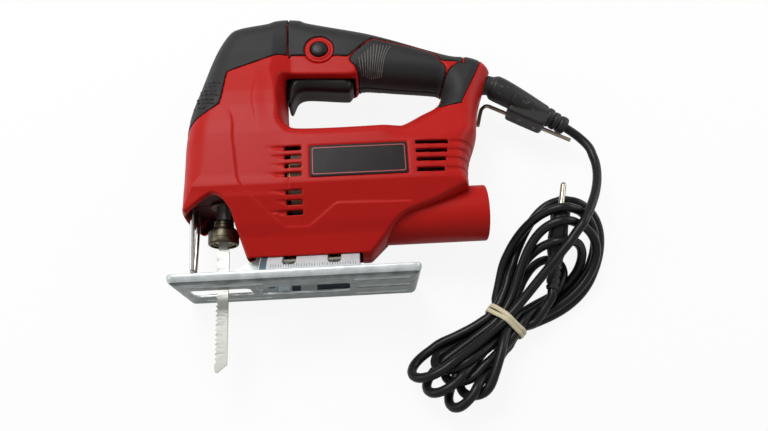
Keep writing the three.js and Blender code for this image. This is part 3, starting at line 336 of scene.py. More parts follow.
def grained(name, colour, other, roughness, scale, bump=0.1, distance=0.0002, metallic=0.0, spread=0.08,
            stretch=(1, 1, 1), worn=None, shine=0.5):
    """A surface whose colour drifts between two tones, with fine grain in its gloss and its relief."""
    surface, shader = finish_nodes(name, colour, roughness, metallic)
    shader.inputs["Specular IOR Level"].default_value = shine
    tree = surface.node_tree
    place, fit = add(tree, "ShaderNodeTexCoord"), add(tree, "ShaderNodeMapping", {"Scale": stretch})
    broad = add(tree, "ShaderNodeTexNoise", {"Scale": scale * 0.06, "Detail": 3})
    fine = add(tree, "ShaderNodeTexNoise", {"Scale": scale, "Detail": 6})
    tint = add(tree, "ShaderNodeMix", {6: (*colour, 1), 7: (*other, 1)}, data_type="RGBA")
    gloss = add(tree, "ShaderNodeMapRange", {"To Min": roughness - spread, "To Max": roughness + spread})
    relief = add(tree, "ShaderNodeBump", {"Strength": bump, "Distance": distance})
    wire(place, "Object", fit, "Vector")
    wire(fit, 0, broad, "Vector")
    wire(fit, 0, fine, "Vector")
    wire(broad, "Fac", tint, 0)
    tone = tint
    if worn:
        patch = add(tree, "ShaderNodeTexNoise", {"Scale": scale * 0.3, "Detail": 8})
        edge = add(tree, "ShaderNodeMapRange", {"From Min": worn[1], "From Max": worn[1] + 0.08})
        tone = add(tree, "ShaderNodeMix", {7: (*worn[0], 1)}, data_type="RGBA")
        wire(fit, 0, patch, "Vector")
        wire(patch, "Fac", edge, "Value")
        wire(edge, 0, tone, 0)
        wire(tint, 2, tone, 6)
    wire(tone, 2, shader, "Base Color")
    wire(fine, "Fac", gloss, "Value")
    wire(gloss, 0, shader, "Roughness")
    wire(fine, "Fac", relief, "Height")
    wire(relief, 0, shader, "Normal")
    return surface


cord_curve = bpy.data.curves.new("mains_lead", "CURVE")
cord_curve.dimensions = "3D"
cord_curve.bevel_depth, cord_curve.bevel_resolution = CORD / 2000, 4
cord_curve.use_fill_caps = True
run = cord_curve.splines.new("POLY")
run.points.add(len(line) - 1)
run.points.foreach_set("co", np.column_stack([at(line), np.ones(len(line))]).ravel())
run.use_smooth = True
mains_lead = linked("mains_lead", cord_curve)
cord_curve.materials.append(
    grained("cord_rubber", (0.006, 0.006, 0.007), (0.011, 0.011, 0.012), 0.32, 900, bump=0.22, shine=0.2))
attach(mains_lead, "housing")
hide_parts("power_cord", "cord_bundle")

# -------------------- cord sleeve
# Rubber sleeve that guards the lead where it leaves the handle, moulded on in one piece with it. It
# tapers for most of its length and ends in three rings with gaps between, which let it bend.
SHARP = 38


def outward(piece):
    """Turns a closed mesh's faces so that they all point out."""
    shape = bmesh.new()
    shape.from_mesh(piece.data)
    bmesh.ops.recalc_face_normals(shape, faces=shape.faces)
    if shape.calc_volume(signed=True) < 0:
        bmesh.ops.reverse_faces(shape, faces=shape.faces)
    shape.to_mesh(piece.data)
    shape.free()
    return piece


def loft(name, rings, material, ring_shut=False, sharp=SHARP):
    """A skin over rings of equal count; its two ends are filled, or the last ring meets the first."""
    rings = [np.asarray(r, float) for r in rings]
    n, m = len(rings[0]), len(rings)
    verts, faces = np.vstack(rings), []
    for k in range(m if ring_shut else m - 1):
        low, high = k * n, ((k + 1) % m) * n
        faces += [(low + i, low + (i + 1) % n, high + (i + 1) % n, high + i) for i in range(n)]
    if not ring_shut:
        verts = np.vstack([verts, rings[0].mean(0), rings[-1].mean(0)])
        faces += [(n * m, (i + 1) % n, i) for i in range(n)]
        faces += [(n * m + 1, (m - 1) * n + i, (m - 1) * n + (i + 1) % n) for i in range(n)]
    piece = outward(put(name, at(verts), faces, material))
    piece.data.set_sharp_from_angle(angle=math.radians(sharp))
    return piece


def swept(points, radii, sides=32, start=0.0):
    """Rings of a round section along a line, turned as little as can be."""
    p = np.asarray(points, float)
    t = np.gradient(p, axis=0)
    t /= np.linalg.norm(t, axis=1)[:, None]
    n = np.cross(t[0], (0.03, 0.05, 1.0))
    a = np.linspace(0, 2 * math.pi, sides, endpoint=False)[:, None] + start
    rings = []
    for k, radius in enumerate(np.broadcast_to(radii, len(p))):
        n = n - (n @ t[k]) * t[k]
        n /= np.linalg.norm(n)
        rings.append(p[k] + radius * (np.cos(a) * n + np.sin(a) * np.cross(t[k], n)))
    return rings


def keep_on(piece, body, finish, *stood):
    """A rigid piece: the body it moves with, and the solids it stands for. Its finish is not used."""
    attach(piece, body)
    if stood:
        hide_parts(*stood)
    return piece


black_rubber = grained("black_rubber", (0.011, 0.011, 0.012), (0.021, 0.02, 0.02), 0.45, 700, bump=0.3,
                       distance=0.00012, worn=((0.15, 0.135, 0.12), 0.66), shine=0.3)
GLAND = (180.6, 142.5, 0)
sleeve_line = smooth_line([GLAND, *in_sleeve, (241, 112.5, -12)], 0.5)
sleeve_radius = np.interp(np.linspace(0, 69, len(sleeve_line)), *zip(
    (0, 6.2), (1, 6.9), (7, 6.9), (8.5, 8.0), (10, 8.9), (14, 9.1), (22, 8.8), (34, 8.0), (46, 7.2),
    (50.4, 7.0), (51, 6.6), (51.8, 5.6), (52.5, 6.4), (53.4, 6.9), (56, 6.8), (56.8, 6.2), (57.6, 5.4),
    (58.4, 6.3), (61, 6.5), (61.7, 6.0), (62.5, 5.2), (63.3, 6.0), (65, 6.4), (66, 6.5), (67.6, 6.4),
    (68.6, 5.8), (69, 4.4)))
cord_sleeve = loft("cord_sleeve_skin", swept(sleeve_line, sleeve_radius, 40), black_rubber)
keep_on(cord_sleeve, "housing", "cord_rubber", "cord_sleeve")

# -------------------- mains plug
# Two-pin plug moulded on the lead's end in black rubber: ringed neck, flat oval body with a thumb
# hollow on each side, and two plated brass pins with rounded tips.
PLUG_THIN = np.cross(PLUG_ALONG, PLUG_ACROSS)
rings = []
turns = np.linspace(0, 2 * math.pi, 64, endpoint=False)
for s in [*np.arange(-55, -31, 0.5), *np.arange(-31, 0, 1.0), -0.5, -0.15, 0]:
    wide = np.interp(s, [-55, -54, -33, -30, -27, -23, -18, -13, -8, -2, -0.6, 0],
                     [3.7, 4.2, 5.0, 6.4, 9.2, 12.6, 15.6, 17.0, 17.4, 17.4, 17.0, 16.2])
    thin = np.interp(s, [-55, -54, -33, -30, -26, -20, -2, -0.6, 0],
                     [3.7, 4.2, 5.0, 5.9, 6.6, 6.8, 6.8, 6.5, 5.9])
    if -53 < s < -33:
        cut_in = 0.75 * max(0.0, math.sin((s + 53) * math.pi / 2.5))
        wide, thin = wide - cut_in, thin - cut_in
    power = 2 / float(np.interp(s, [-34, -24], [2.0, 3.0]))
    u, v = [reach_out * np.sign(way) * np.abs(way) ** power for reach_out, way in
            ((wide, np.cos(turns)), (thin, np.sin(turns)))]
    v *= 1 - 0.16 * math.exp(-(((s + 11) / 6) ** 2)) * np.exp(-((u / 9) ** 2))
    rings.append(PLUG_FACE + s * PLUG_ALONG + u[:, None] * PLUG_ACROSS + v[:, None] * PLUG_THIN)
plug_body = keep_on(loft("mains_plug_body", rings, black_rubber), "housing", "black_plastic", "mains_plug")


def turned(name, profile, origin, along, material, sides=40, ring_shut=False):
    """A turned form from pairs of distance along the axis and radius; a shut profile makes a ring."""
    along = np.asarray(along, float) / np.linalg.norm(along)
    n = np.cross(along, (0.2, 0.3, 1.0) if abs(along[2]) < 0.9 else (1.0, 0.2, 0.0))
    n /= np.linalg.norm(n)
    b = np.cross(along, n)
    a = np.linspace(0, 2 * math.pi, sides, endpoint=False)[:, None]
    rings = [np.asarray(origin, float) + s * along + max(r, 0.01) * (np.cos(a) * n + np.sin(a) * b) for s,
             r in profile]
    return loft(name, rings, material, ring_shut)


plated_pin = grained("plated_pin", (0.42, 0.385, 0.32), (0.34, 0.31, 0.25), 0.25, 500, bump=0.08,
                     distance=0.00005, metallic=1.0)
profile = [(-0.5, 2.0), (0.3, 2.0), (0.3, 2.35), (1.2, 2.35), (1.5, 2.0), (16.8, 2.0), (17.9, 1.75),
           (18.6, 1.2), (18.95, 0.5), (19, 0)]
for n, side in ((1, PIN_GAP), (2, -PIN_GAP)):
    place = PLUG_FACE + side * PLUG_ACROSS
    pin = turned("plug_pin_%d_plated" % n, profile, place, PLUG_ALONG, plated_pin, 28)
    keep_on(pin, "housing", "plated_pin", "plug_pin_%d" % n)

# -------------------- bundle tie
# Cream elastic band drawn twice round the folded lead at its waist. It lies on the outermost strands
# and bridges the hollows between them, so its shape is taken from where the strands pass.
STRAND = 3.35
spots = []
for point in line:
    away = point[:2] - TIE
    if abs(away @ TIE_ALONG) < 4.2 and abs(away @ TIE_ACROSS) < 26:
        spots += [(away @ TIE_ACROSS + STRAND * math.cos(a), point[2] + STRAND * math.sin(a))
                  for a in np.linspace(0, 6.2832, 24, endpoint=False)]


def bends_in(a, b, c):
    """Whether b lies within the straight line that a band would take from a to c."""
    return (b[0] - a[0]) * (c[1] - a[1]) - (b[1] - a[1]) * (c[0] - a[0]) <= 0


def hull(points):
    """The line that a band takes when drawn tight round the points."""
    points = sorted(set((round(x, 4), round(y, 4)) for x, y in points))
    halves = []
    for run in (points, points[::-1]):
        chain = []
        for p in run:
            while len(chain) > 1 and bends_in(chain[-2], chain[-1], p):
                chain.pop()
            chain.append(p)
        halves += chain[:-1]
    return np.array(halves)


loop = hull(spots)
loop = np.vstack([loop, loop[:1]])
far = reach(loop)
even = np.linspace(0, far[-1], 120, endpoint=False)
loop = np.column_stack([np.interp(even, far, loop[:, k]) for k in (0, 1)])
for _ in range(4):
    loop = 0.5 * loop + 0.25 * (np.roll(loop, 1, axis=0) + np.roll(loop, -1, axis=0))
side = np.roll(loop, -1, axis=0) - np.roll(loop, 1, axis=0)
side /= np.linalg.norm(side, axis=1)[:, None]
outside = np.column_stack([side[:, 1], -side[:, 0]])
if (outside * (loop - loop.mean(0))).sum() < 0:
    outside = -outside
tie_band = grained("tie_band", (0.66, 0.6, 0.42), (0.52, 0.46, 0.3), 0.62, 500, bump=0.5, spread=0.1)
section = [(-1.55, 0.1), (-1.35, 0.75), (-0.7, 1.0), (0, 1.05), (0.7, 1.0), (1.35, 0.75), (1.55, 0.1),
           (1.2, -0.05), (0, -0.1), (-1.2, -0.05)]
for name, shift, tilt, phase, stood in (("bundle_tie_band", -1.35, 0.9, 0.0, ["bundle_tie"]),
                                        ("bundle_tie_turn", 1.35, -0.8, 2.1, [])):
    rings = []
    for k, (spot, out) in enumerate(zip(loop, outside)):
        t = k / 120 * 2 * math.pi
        lead = shift + tilt * math.sin(t + phase) + 0.25 * math.sin(3 * t + phase)
        ring = []
        for w, h in section:
            flat = spot + out * (h * (1 + 0.15 * math.sin(2 * t + phase)))
            ring.append([*(TIE + TIE_ACROSS * flat[0] + TIE_ALONG * (lead + w)), max(flat[1], -30.9)])
        rings.append(ring)
    band = loft(name, rings, tie_band, ring_shut=True, sharp=60)
    keep_on(band, "housing", "tie_band", *stood)

# -------------------- housing
# Two glass-filled nylon shells moulded in red, screwed together along the joint face. The form is
# one side outline with a soft edge whose radius and half width change from place to place.
GRID = 0.75
gx, gy, gz = np.arange(-31, 193, GRID), np.arange(11, 203, GRID), np.arange(-34.5, 34.51, GRID)
gx2, gy2 = np.meshgrid(gx, gy, indexing="ij")
ax, ay, az = gx[:, None, None], gy[None, :, None], gz[None, None, :]
corner = (gx[0], gy[0], gz[0])


def ring_line(points, step=2.0):
    """A closed rounded line through the points; a point given twice is a sharp corner."""
    p = np.asarray(points, float)
    n, t = len(p), np.linspace(0, 1, 16, endpoint=False)[:, None]
    runs = [rounded_run(p[k - 1], p[k], p[(k + 1) % n], p[(k + 2) % n], t) for k in range(n)
            if not np.allclose(p[k][:2], p[(k + 1) % n][:2])]
    whole = np.vstack(runs + [runs[0][:1]])
    far = reach(whole[:, :2])
    even = np.linspace(0, far[-1], int(far[-1] / step), endpoint=False)
    return np.column_stack([np.interp(even, far, whole[:, k]) for k in range(p.shape[1])])


def inside(loop, x, y):
    """Distance to a closed line, positive inside it, and the line's other values where it is nearest."""
    near = np.full(x.shape, 1e9)
    held = np.zeros(x.shape, bool)
    extra = [np.zeros(x.shape) for _ in range(loop.shape[1] - 2)]
    for a, b in zip(loop, np.roll(loop, -1, axis=0)):
        ex, ey = b[0] - a[0], b[1] - a[1]
        t = np.clip(((x - a[0]) * ex + (y - a[1]) * ey) / (ex * ex + ey * ey + 1e-12), 0, 1)
        gap = (x - a[0] - t * ex) ** 2 + (y - a[1] - t * ey) ** 2
        closer = gap < near
        near = np.where(closer, gap, near)
        for k, kept in enumerate(extra):
            extra[k] = np.where(closer, a[2 + k] + t * (b[2 + k] - a[2 + k]), kept)
        over = (a[1] > y) != (b[1] > y)
        held ^= over & (x < ex * (y - a[1]) / (ey + 1e-12) + a[0])
    return (np.where(held, np.sqrt(near), -np.sqrt(near)), *extra)


def ease(x, low, high):
    """From 0 at the low end to 1 at the high end, with a soft start and stop."""
    t = np.clip((x - low) / (high - low), 0, 1)
    return t * t * (3 - 2 * t)


# side outline in runs of one squareness each: x, y and the radius of the edge
outline = ring_line([(*spot, squareness) for squareness, run in (
    (2.4, [(-20.5, 45.6, 4), (-24.2, 49.6, 9), (-24.7, 56, 14), (-24.7, 66, 18), (-24.6, 82, 21),
           (-24.3, 98, 22), (-22, 119, 22)]),
    (2.3, [(-16.5, 140, 21), (-10, 163, 20), (-4, 178, 19), (2.5, 188, 18), (9, 191.5, 17), (18, 193.5, 17),
           (30, 195.5, 17), (34.5, 197.3, 17), (44, 198.2, 17), (54, 197.3, 17)]),
    (2.2, [(58, 195.6, 17), (70, 192.5, 17), (91, 187.5, 17), (104, 184, 17), (120, 178.5, 17),
           (143, 169.5, 16), (160, 163.5, 16), (170, 162, 15), (176, 160, 14), (183, 156.5, 13),
           (187, 150.5, 13), (186.5, 145.5, 14), (181, 134, 15), (177, 123, 15)]),
    (2.3, [(174, 110, 14)]),
    (2.4, [(172, 97, 13), (169, 88, 13), (166, 80, 12), (164, 70, 11), (163, 57, 5), (163, 57, 5),
           (141, 47, 4), (119, 39, 4), (107, 27, 4), (97, 17, 3), (97, 17, 3), (60, 17, 3), (17.5, 17, 3),
           (17.5, 17, 3), (13.5, 29, 3), (10.5, 39, 2), (8.5, 47, 1.6), (4.4, 53.6, 1.6), (0, 57, 1.6),
           (-4, 56.8, 1.6), (-9, 53.6, 1.6), (-13.5, 50, 1.8), (-17.4, 46.6, 2.4)])) for spot in run])
window = ring_line([
    (43.4, 144, 5.5, 2.2), (42.9, 141, 6, 2.1), (42.8, 134, 6, 2.1), (42.9, 124, 6, 2.1), (43.3, 116, 6, 2.2),
    (44.4, 111, 8, 2.2), (47.4, 107.6, 10.5, 2.3), (53, 106.3, 13, 2.4), (80, 106.2, 14, 2.4),
    (116, 107, 14, 2.4), (122, 108.5, 14, 2.4), (134, 115.5, 14, 2.4), (146, 122.3, 14, 2.3),
    (149.4, 128, 15, 2.3), (151.6, 133.4, 15, 2.3), (150.4, 137.4, 15, 2.3), (146, 138.8, 16, 2.2),
    (120, 142, 17, 2.2), (98, 145, 15, 2.2), (93.5, 144, 8, 2.4), (88, 144, 4, 2.8), (70, 145.2, 2.6, 3.0),
    (52, 145.8, 2.6, 3.0), (46.6, 145.8, 3.6, 2.8),
])
deep_out, round_out, square_out = inside(outline, gx2, gy2)
deep_win, round_win, square_win = inside(window, gx2, gy2)
deep = np.minimum(deep_out, -deep_win)
by_window = -deep_win < deep_out
soft = np.where(by_window, round_win, round_out)
square = np.where(by_window, square_win, square_out)[:, :, None]

# half width over the side view
flank = np.interp(gy2, [17, 31, 61.6, 150], [12.4, 17.6, 31, 31])
flank *= np.interp(gx2, [132, 146, 158, 170], [1, 0.975, 0.9, 0.8])
head_half = np.interp(gy2, [44, 52, 62, 98, 108, 119, 130, 140, 152, 163, 180, 198],
                      [26, 27.5, 29.5, 31, 30.8, 30, 28.5, 26.5, 24.2, 22.4, 20.4, 19])
pillar_half = np.interp(gy2, [88, 98, 104, 110, 118, 128, 150], [29.5, 27, 24.6, 22.4, 20.4, 19, 18.2])
grip_half = np.interp(gx2, [36, 50, 91, 120, 150, 174, 187], [19.4, 18.8, 18.2, 17.9, 17.7, 18.2, 16.4])
rear_side = pillar_half + (grip_half - pillar_half) * ease(gy2, 128, 146)
behind = np.maximum(ease(gx2, 106, 126) * ease(gy2, 86, 99), ease(gy2, 112, 126))
rear_side = flank + (rear_side - flank) * behind
neck_x = np.interp(gy2, [105, 119, 134, 149, 160], [41, 38.6, 36.6, 33.2, 35])
above_nose = ease(gy2, 56, 70)
half = rear_side + (head_half - rear_side) * np.clip((47 - gx2) / (47 - neck_x), 0, 1) * above_nose
nose_half = head_half + (np.minimum(flank, head_half) - head_half) * ease(gx2, -6, 8)
half = np.where((gy2 < 70) & (gx2 < 47), nose_half + (half - nose_half) * above_nose, half)

# the flank panel stands a little proud of the nose, and a soft crease runs up the head
panel = ring_line([(-40, 135), (-40, 135), (4.5, 119), (11, 92), (13, 75), (16, 63), (29, 49), (43, 36),
                   (43, 36), (58, 36), (58, 36), (76, 49), (76, 49), (124, 48), (124, 48), (124, 0), (124, 0),
                   (-40, 0), (-40, 0)])
(panel_in,) = inside(panel, gx2, gy2)
half = half + 0.9 * ease(panel_in, -0.5, 0.5) * (1 - ease(gy2, 98, 122)) * ease(gy2, 30, 40)
past_crease = gx2 - np.interp(gy2, [94, 104, 125, 143, 150], [28.5, 25.6, 22, 24, 25.5])
half = half + (0.55 * ease(past_crease, -0.6, 0.6) * (1 - ease(past_crease, 1.5, 10)) * ease(gy2, 94, 120)
               * (1 - ease(gy2, 136, 148)))
half = half[:, :, None]


def meshed(field, corner, name, material, step=GRID):
    """The surface where a field of distances in millimetres is zero, as a closed mesh."""
    grid = openvdb.FloatGrid(3.0)
    grid.copyFromArray(np.ascontiguousarray(np.clip(field, -3, 3), dtype=np.float32), tolerance=0.0)
    verts, tris, quads = grid.convertToPolygons(isovalue=0.0, adaptivity=0.0)
    faces = [f[::-1] for f in np.asarray(quads).tolist() + np.asarray(tris).tolist()]
    return outward(put(name, at(verts * step + np.asarray(corner)), faces, material))


def true_distance(field, step=GRID):
    """Scales a field by its own slope, so that it counts in millimetres near the surface."""
    slope = np.gradient(field, step)
    return field / np.maximum(np.sqrt(slope[0] ** 2 + slope[1] ** 2 + slope[2] ** 2), 1e-3)


def common(field, *others):
    """What a form has in common with others."""
    for other in others:
        field = np.maximum(field, other)
    return field


def less(field, *cuts):
    """A form with others cut out of it."""
    return common(field, *[-cut for cut in cuts])


def between(axis, low, high):
    """Distance out of a slab that lies across an axis."""
    return np.abs(axis - (low + high) / 2) - (high - low) / 2


def block(x0, x1, y0, y1, z0, z1):
    """Distance out of a square block."""
    return common(between(ax, x0, x1), between(ay, y0, y1), between(az, z0, z1))


def round_bar(u, v, r, axis, low, high):
    """Distance out of a round bar of radius r along an axis; u and v are measured from its middle."""
    return common(np.sqrt(u**2 + v**2) - r, between(axis, low, high))


rim = np.maximum(0, 1 - deep / soft)[:, :, None]
skin = true_distance((rim**square + (np.abs(az) / half) ** square) ** (1 / square) - 1).astype(np.float32)

# the grips' outlines in the side view
BUTTON = (67, 166)
ring_arc = [math.radians(a) for a in range(205, 345, 20)]
grip_lines = {
    "front_grip": [(-60, 100), (-60, 100), (-24, 103), (-24, 103), (-16, 109), (-1, 119), (2, 125),
                   (4.5, 145), (6.5, 148), (22, 154.5), (39, 161.5), (39, 161.5), (45, 161.7), (45, 161.7),
                   (45, 230), (45, 230), (-60, 230), (-60, 230)],
    "top_grip": [(45.7, 230), (45.7, 230), (45.7, 165), (48.3, 162), (57.2, 161.8), (57.2, 161.8),
                 *[(BUTTON[0] + 10.6 * math.cos(a), BUTTON[1] + 10.6 * math.sin(a)) for a in ring_arc],
                 (78, 160.8), (87, 160), (87, 160), (102.5, 173.6), (107, 174.6), (143, 164.6), (152, 154.2),
                 (152, 154.2), (162.3, 153.2), (162.3, 153.2), (167.6, 158), (167.6, 230), (167.6, 230)],
    "side_grip": [(88.3, 158.8), (93.5, 148), (94, 120), (94, 120), (149.5, 120), (149.5, 120), (149.5, 131),
                  (154.5, 145.5), (151.5, 153.2), (142.5, 163.5), (107, 173.5), (103, 172.5)],
    "rear_grip": [(169, 230), (169, 230), (169, 157.4), (163.8, 152), (155.8, 145), (150.5, 131),
                  (150.5, 124), (147.5, 117.3), (147.5, 117.3), (161.8, 118.8), (163.6, 122), (176.2, 146.5),
                  (178.4, 152), (179.2, 160), (179.3, 230), (179.3, 230)],
}
grip_in = {name: inside(ring_line(loop, 1.5), gx2, gy2)[0][:, :, None] for name, loop in grip_lines.items()}
grip_any = np.maximum.reduce(list(grip_in.values()))

red_shell = grained("red_shell", (0.43, 0.01, 0.007), (0.39, 0.008, 0.006), 0.42, 1600, bump=0.12,
                    distance=0.00006, spread=0.05, shine=0.14)
# nose_room_painted_shade: a near-black red for the walls deep inside the nose room, painted shade
nose_room_painted_shade = grained("nose_room_painted_shade", (0.075, 0.011, 0.012), (0.045, 0.01, 0.01), 0.6, 500, bump=0.2,
                       spread=0.1, shine=0.15)
shell = less(skin, common(-(grip_any + 0.18), -(skin + 2)))
# seven front vents at the foot of ramps, and four at the back that run on as shallow grooves
front_vents = [(44, y - 1.6, y + 1.6) for y in (85.5, 79.5, 73.5, 67.5)]
front_vents += [(44.5, y - 1.45, y + 1.45) for y in (56.5, 50.5, 44.5)]
for k, (x0, y0, y1) in enumerate(front_vents):
    ramp = np.clip((ax - 29 - 2 * (k % 3)) / 16, 0, 1)
    ramp_cut = common(y1 - 3.0 * ramp - ay, ay - y1, -(skin + 1.5 * ramp**1.5), ax - x0 - 0.5)
    shell = less(shell, ramp_cut, common(block(x0, 54.5, y0, y1, -60, 60), 12 - np.abs(az)))
for k, y in enumerate((86, 80, 74, 67)):
    x1, y0, y1 = 149.5 - k * 1.2, y - 1.4, y + 1.4
    groove = common(y0 - ay, ay - y1, x1 + 0.4 - ax, -(skin + 0.75), 140 - ax)
    shell = less(shell, groove, common(block(128, x1, y0, y1, -60, 60), 12 - np.abs(az)))
# rooms for the saddle, the dust tube, the trigger and the sleeve, and the hollow behind a 2.6 mm wall
saddle_room = round_bar(ay, az, 22.8, ax, 17, 91)
tube_room = common(round_bar(ay - 46, az, 18.7 + 0.4, ax, 104, 190),
                   -(ax - 104 - np.clip((ay - 26) * 0.5, 0, 20)))
trigger_room = block(43.2, 91.3, 140, 160, -13.1, 13.1)
sleeve_room = round_bar(ay - 142.5, az, 7.9, ax, 178.5, 200)
hollow = less(skin + 2.6, block(-30, 45, 161, 210, -60, 60))
shell = less(shell, saddle_room, tube_room, trigger_room, sleeve_room, hollow)
# room in the nose for the plunger: open below, smooth walls, a roof with a hole
front_soft = np.interp(gy2, [50, 66], [9, 18])
nose_rim = np.maximum(0, 1 - (gx2 + 24.4) / front_soft)[:, :, None] ** 2.4
nose_skin = ((nose_rim + (np.abs(az) / half) ** 2.4) ** (1 / 2.4) - 1) * 17
nose_room = common(nose_skin + 2.7, ay - 60, ax - 9)
roof = common(nose_skin + 2.4, np.abs(ay - 61.6) - 1.6, ax - 12, 7.5 - np.sqrt(ax**2 + az**2))
shell = less(np.minimum(shell, roof), nose_room, round_bar(ax, az, 10.9, ay, 20, 56))


def halved(field):
    """The left and the right half of a form, with a hairline between them."""
    return np.maximum(field, 0.15 - az), np.maximum(field, 0.15 + az)


def at_button(r):
    """A round cut into the left flank about the lock button."""
    return round_bar(ax - BUTTON[0], ay - BUTTON[1], r, az, 0, 60)


left_cut, right_cut = halved(shell)
left_cut = less(left_cut, block(59.7, 122.8, 64.7, 86.8, 30.2, 60), at_button(6.2))
right_cut = less(right_cut, *[round_bar(ax - x, ay - y, 3.9, az, -60, -12)
                              for x, y in ((-16.5, 84), (36, 122), (28, 31), (163, 108))])
for field, node in ((left_cut, "housing_left"), (right_cut, "housing_right")):
    piece = keep_on(meshed(field, corner, node + "_shell", red_shell), "housing", "red_shell", node)
    # a second surface for faces deep inside the nose room, near-black red: painted shade where little light
    # gets in
    piece.data.materials.append(nose_room_painted_shade)
    for face in piece.data.polygons:
        x, y, z = face.center * 1000 - Vector(TOOL_IN_MODEL)
        column, row, layer = [round(float(s - axis[0]) / GRID) for s, axis in ((x, gx), (y, gy), (z, gz))]
        face.material_index = int(x < 11 and y < 64 and skin[column, row, layer] < -1.5)

# -------------------- soft grips
# Black thermoplastic rubber moulded over the shell where hands and fingers rest, matt and finely
# grained. Each pad lies in its own recess, with a hairline of red between it and the next.
soft_grip = grained("soft_grip", (0.02, 0.0195, 0.02), (0.014, 0.0135, 0.0135), 0.52, 1500, bump=0.3,
                    distance=0.0001, shine=0.2)
for name, split in (("front_grip", False), ("top_grip", False), ("side_grip", True), ("rear_grip", True)):
    pad = less(common(skin - 0.25, -(grip_in[name] - 0.15), -(skin + 1.7)), at_button(10.4))
    for label, field in zip((name + "_left", name + "_right"), halved(pad)) if split else [(name, pad)]:
        keep_on(meshed(field, corner, label + "_pad", soft_grip), "housing", "soft_grip", label)

# -------------------- grip ribs and dashes
# Fine moulded relief that keeps a hand from slipping: eleven curved ribs fan out on each side grip,
# and a patch of short slanted dashes sits on the nose grip. Both are part of the rubber.
SIDES = (("left", 1), ("right", -1))


def cell(x, y):
    """The cell of the side view's grid that is nearest to x and y."""
    return [int(np.clip(round((s - axis[0]) / GRID), 0, len(axis) - 1)) for s, axis in ((x, gx), (y, gy))]


def on_skin(x, y, proud=0.25):
    """Height of the skin over a place in the side view, a little proud of it."""
    i, j = cell(x, y)
    middle = len(gz) // 2
    run = skin[i, j, middle:]
    k = int(np.argmax(run > proud))
    low, high = run[k - 1], run[k]
    return gz[middle + k - 1] + GRID * (proud - low) / (high - low + 1e-9)


def node_tool(name, sizes, build):
    """A modifier's node tree with a mesh coming in and out, a material and its named sizes."""
    tree = bpy.data.node_groups.new(name, "GeometryNodeTree")
    tree.interface.new_socket("Geometry", in_out="INPUT", socket_type="NodeSocketGeometry")
    for label, value in sizes.items():
        tree.interface.new_socket(label, in_out="INPUT", socket_type="NodeSocketFloat").default_value = value
    tree.interface.new_socket("Material", in_out="INPUT", socket_type="NodeSocketMaterial")
    tree.interface.new_socket("Geometry", in_out="OUTPUT", socket_type="NodeSocketGeometry")
    inlet, outlet = add(tree, "NodeGroupInput"), add(tree, "NodeGroupOutput")
    whole, paint = add(tree, "GeometryNodeRealizeInstances"), add(tree, "GeometryNodeSetMaterial")
    wire(build(tree, inlet), 0, whole, 0)
    wire(whole, 0, paint, "Geometry")
    wire(inlet, "Material", paint, "Material")
    wire(paint, 0, outlet, 0)
    return tree


def grown(name, mesh, tree, **values):
    """Runs a node tree on a mesh of lines or points, and leaves the result as a plain mesh of its own."""
    source = linked(mesh.name, mesh)
    tool = source.modifiers.new("tool", "NODES")
    tool.node_group = tree
    for entry in tree.interface.items_tree:
        if entry.in_out == "INPUT" and entry.name in values:
            tool[entry.identifier] = values[entry.name]
    seen_from = bpy.context.evaluated_depsgraph_get()
    made = bpy.data.meshes.new_from_object(source.evaluated_get(seen_from), depsgraph=seen_from)
    made.polygons.foreach_set("use_smooth", [True] * len(made.polygons))
    source.modifiers.clear()
    bpy.data.objects.remove(source)
    return linked(name, made)


def rib_build(tree, inlet):
    """A round rib along each line of the mesh."""
    curve, profile = add(tree, "GeometryNodeMeshToCurve"), add(tree, "GeometryNodeCurvePrimitiveCircle",
                                                               {"Resolution": 8})
    tube = add(tree, "GeometryNodeCurveToMesh", {"Fill Caps": True})
    wire(inlet, "Geometry", curve, 0)
    wire(inlet, "Radius", profile, "Radius")
    wire(curve, 0, tube, "Curve")
    wire(profile, 0, tube, "Profile Curve")
    return tube


rib_tree = node_tool("raised_rib", {"Radius": 0.0003}, rib_build)
# the ribs are coloured far paler than the grip: partly dust on their crests, partly a painted highlight along
# them
rib_dust_and_highlight = grained("rib_dust_and_highlight", (0.15, 0.135, 0.118), (0.035, 0.032, 0.03), 0.5, 2600, bump=0.2,
                     distance=0.00005)
RIBS = 11
for side_name, turn in SIDES:
    verts, edges = [], []
    for k in range(RIBS):
        t = k / (RIBS - 1)
        top_x, top_y = 94.4 + 22.4 * t, 158.5 + 14.5 * min(1, t * 1.7) - 4.5 * t
        mid_x, mid_y = 95.4 + 17.2 * t, 150 + 8.5 * t
        low_x, low_y = 96.2 + 13.4 * t, 146.5 - 1.5 * t + 2 * abs(t - 0.5)
        run = smooth_line([(top_x, min(top_y, 170.5 - 3.6 * t), 0), (mid_x, mid_y, 0), (low_x, low_y, 0)],
                          2.0)
        run = smooth_line([(x, y, turn * (on_skin(x, y) - 0.04)) for x, y, _ in run], 0.8)
        edges += [(len(verts) + n, len(verts) + n + 1) for n in range(len(run) - 1)]
        verts += [tuple(p) for p in at(run)]
    name = "side_grip_ribs_" + side_name
    mesh = bpy.data.meshes.new(name + "_lines")
    mesh.from_pydata(verts, edges, [])
    keep_on(grown(name, mesh, rib_tree, Radius=0.34 / 1000, Material=rib_dust_and_highlight), "housing", "soft_grip")


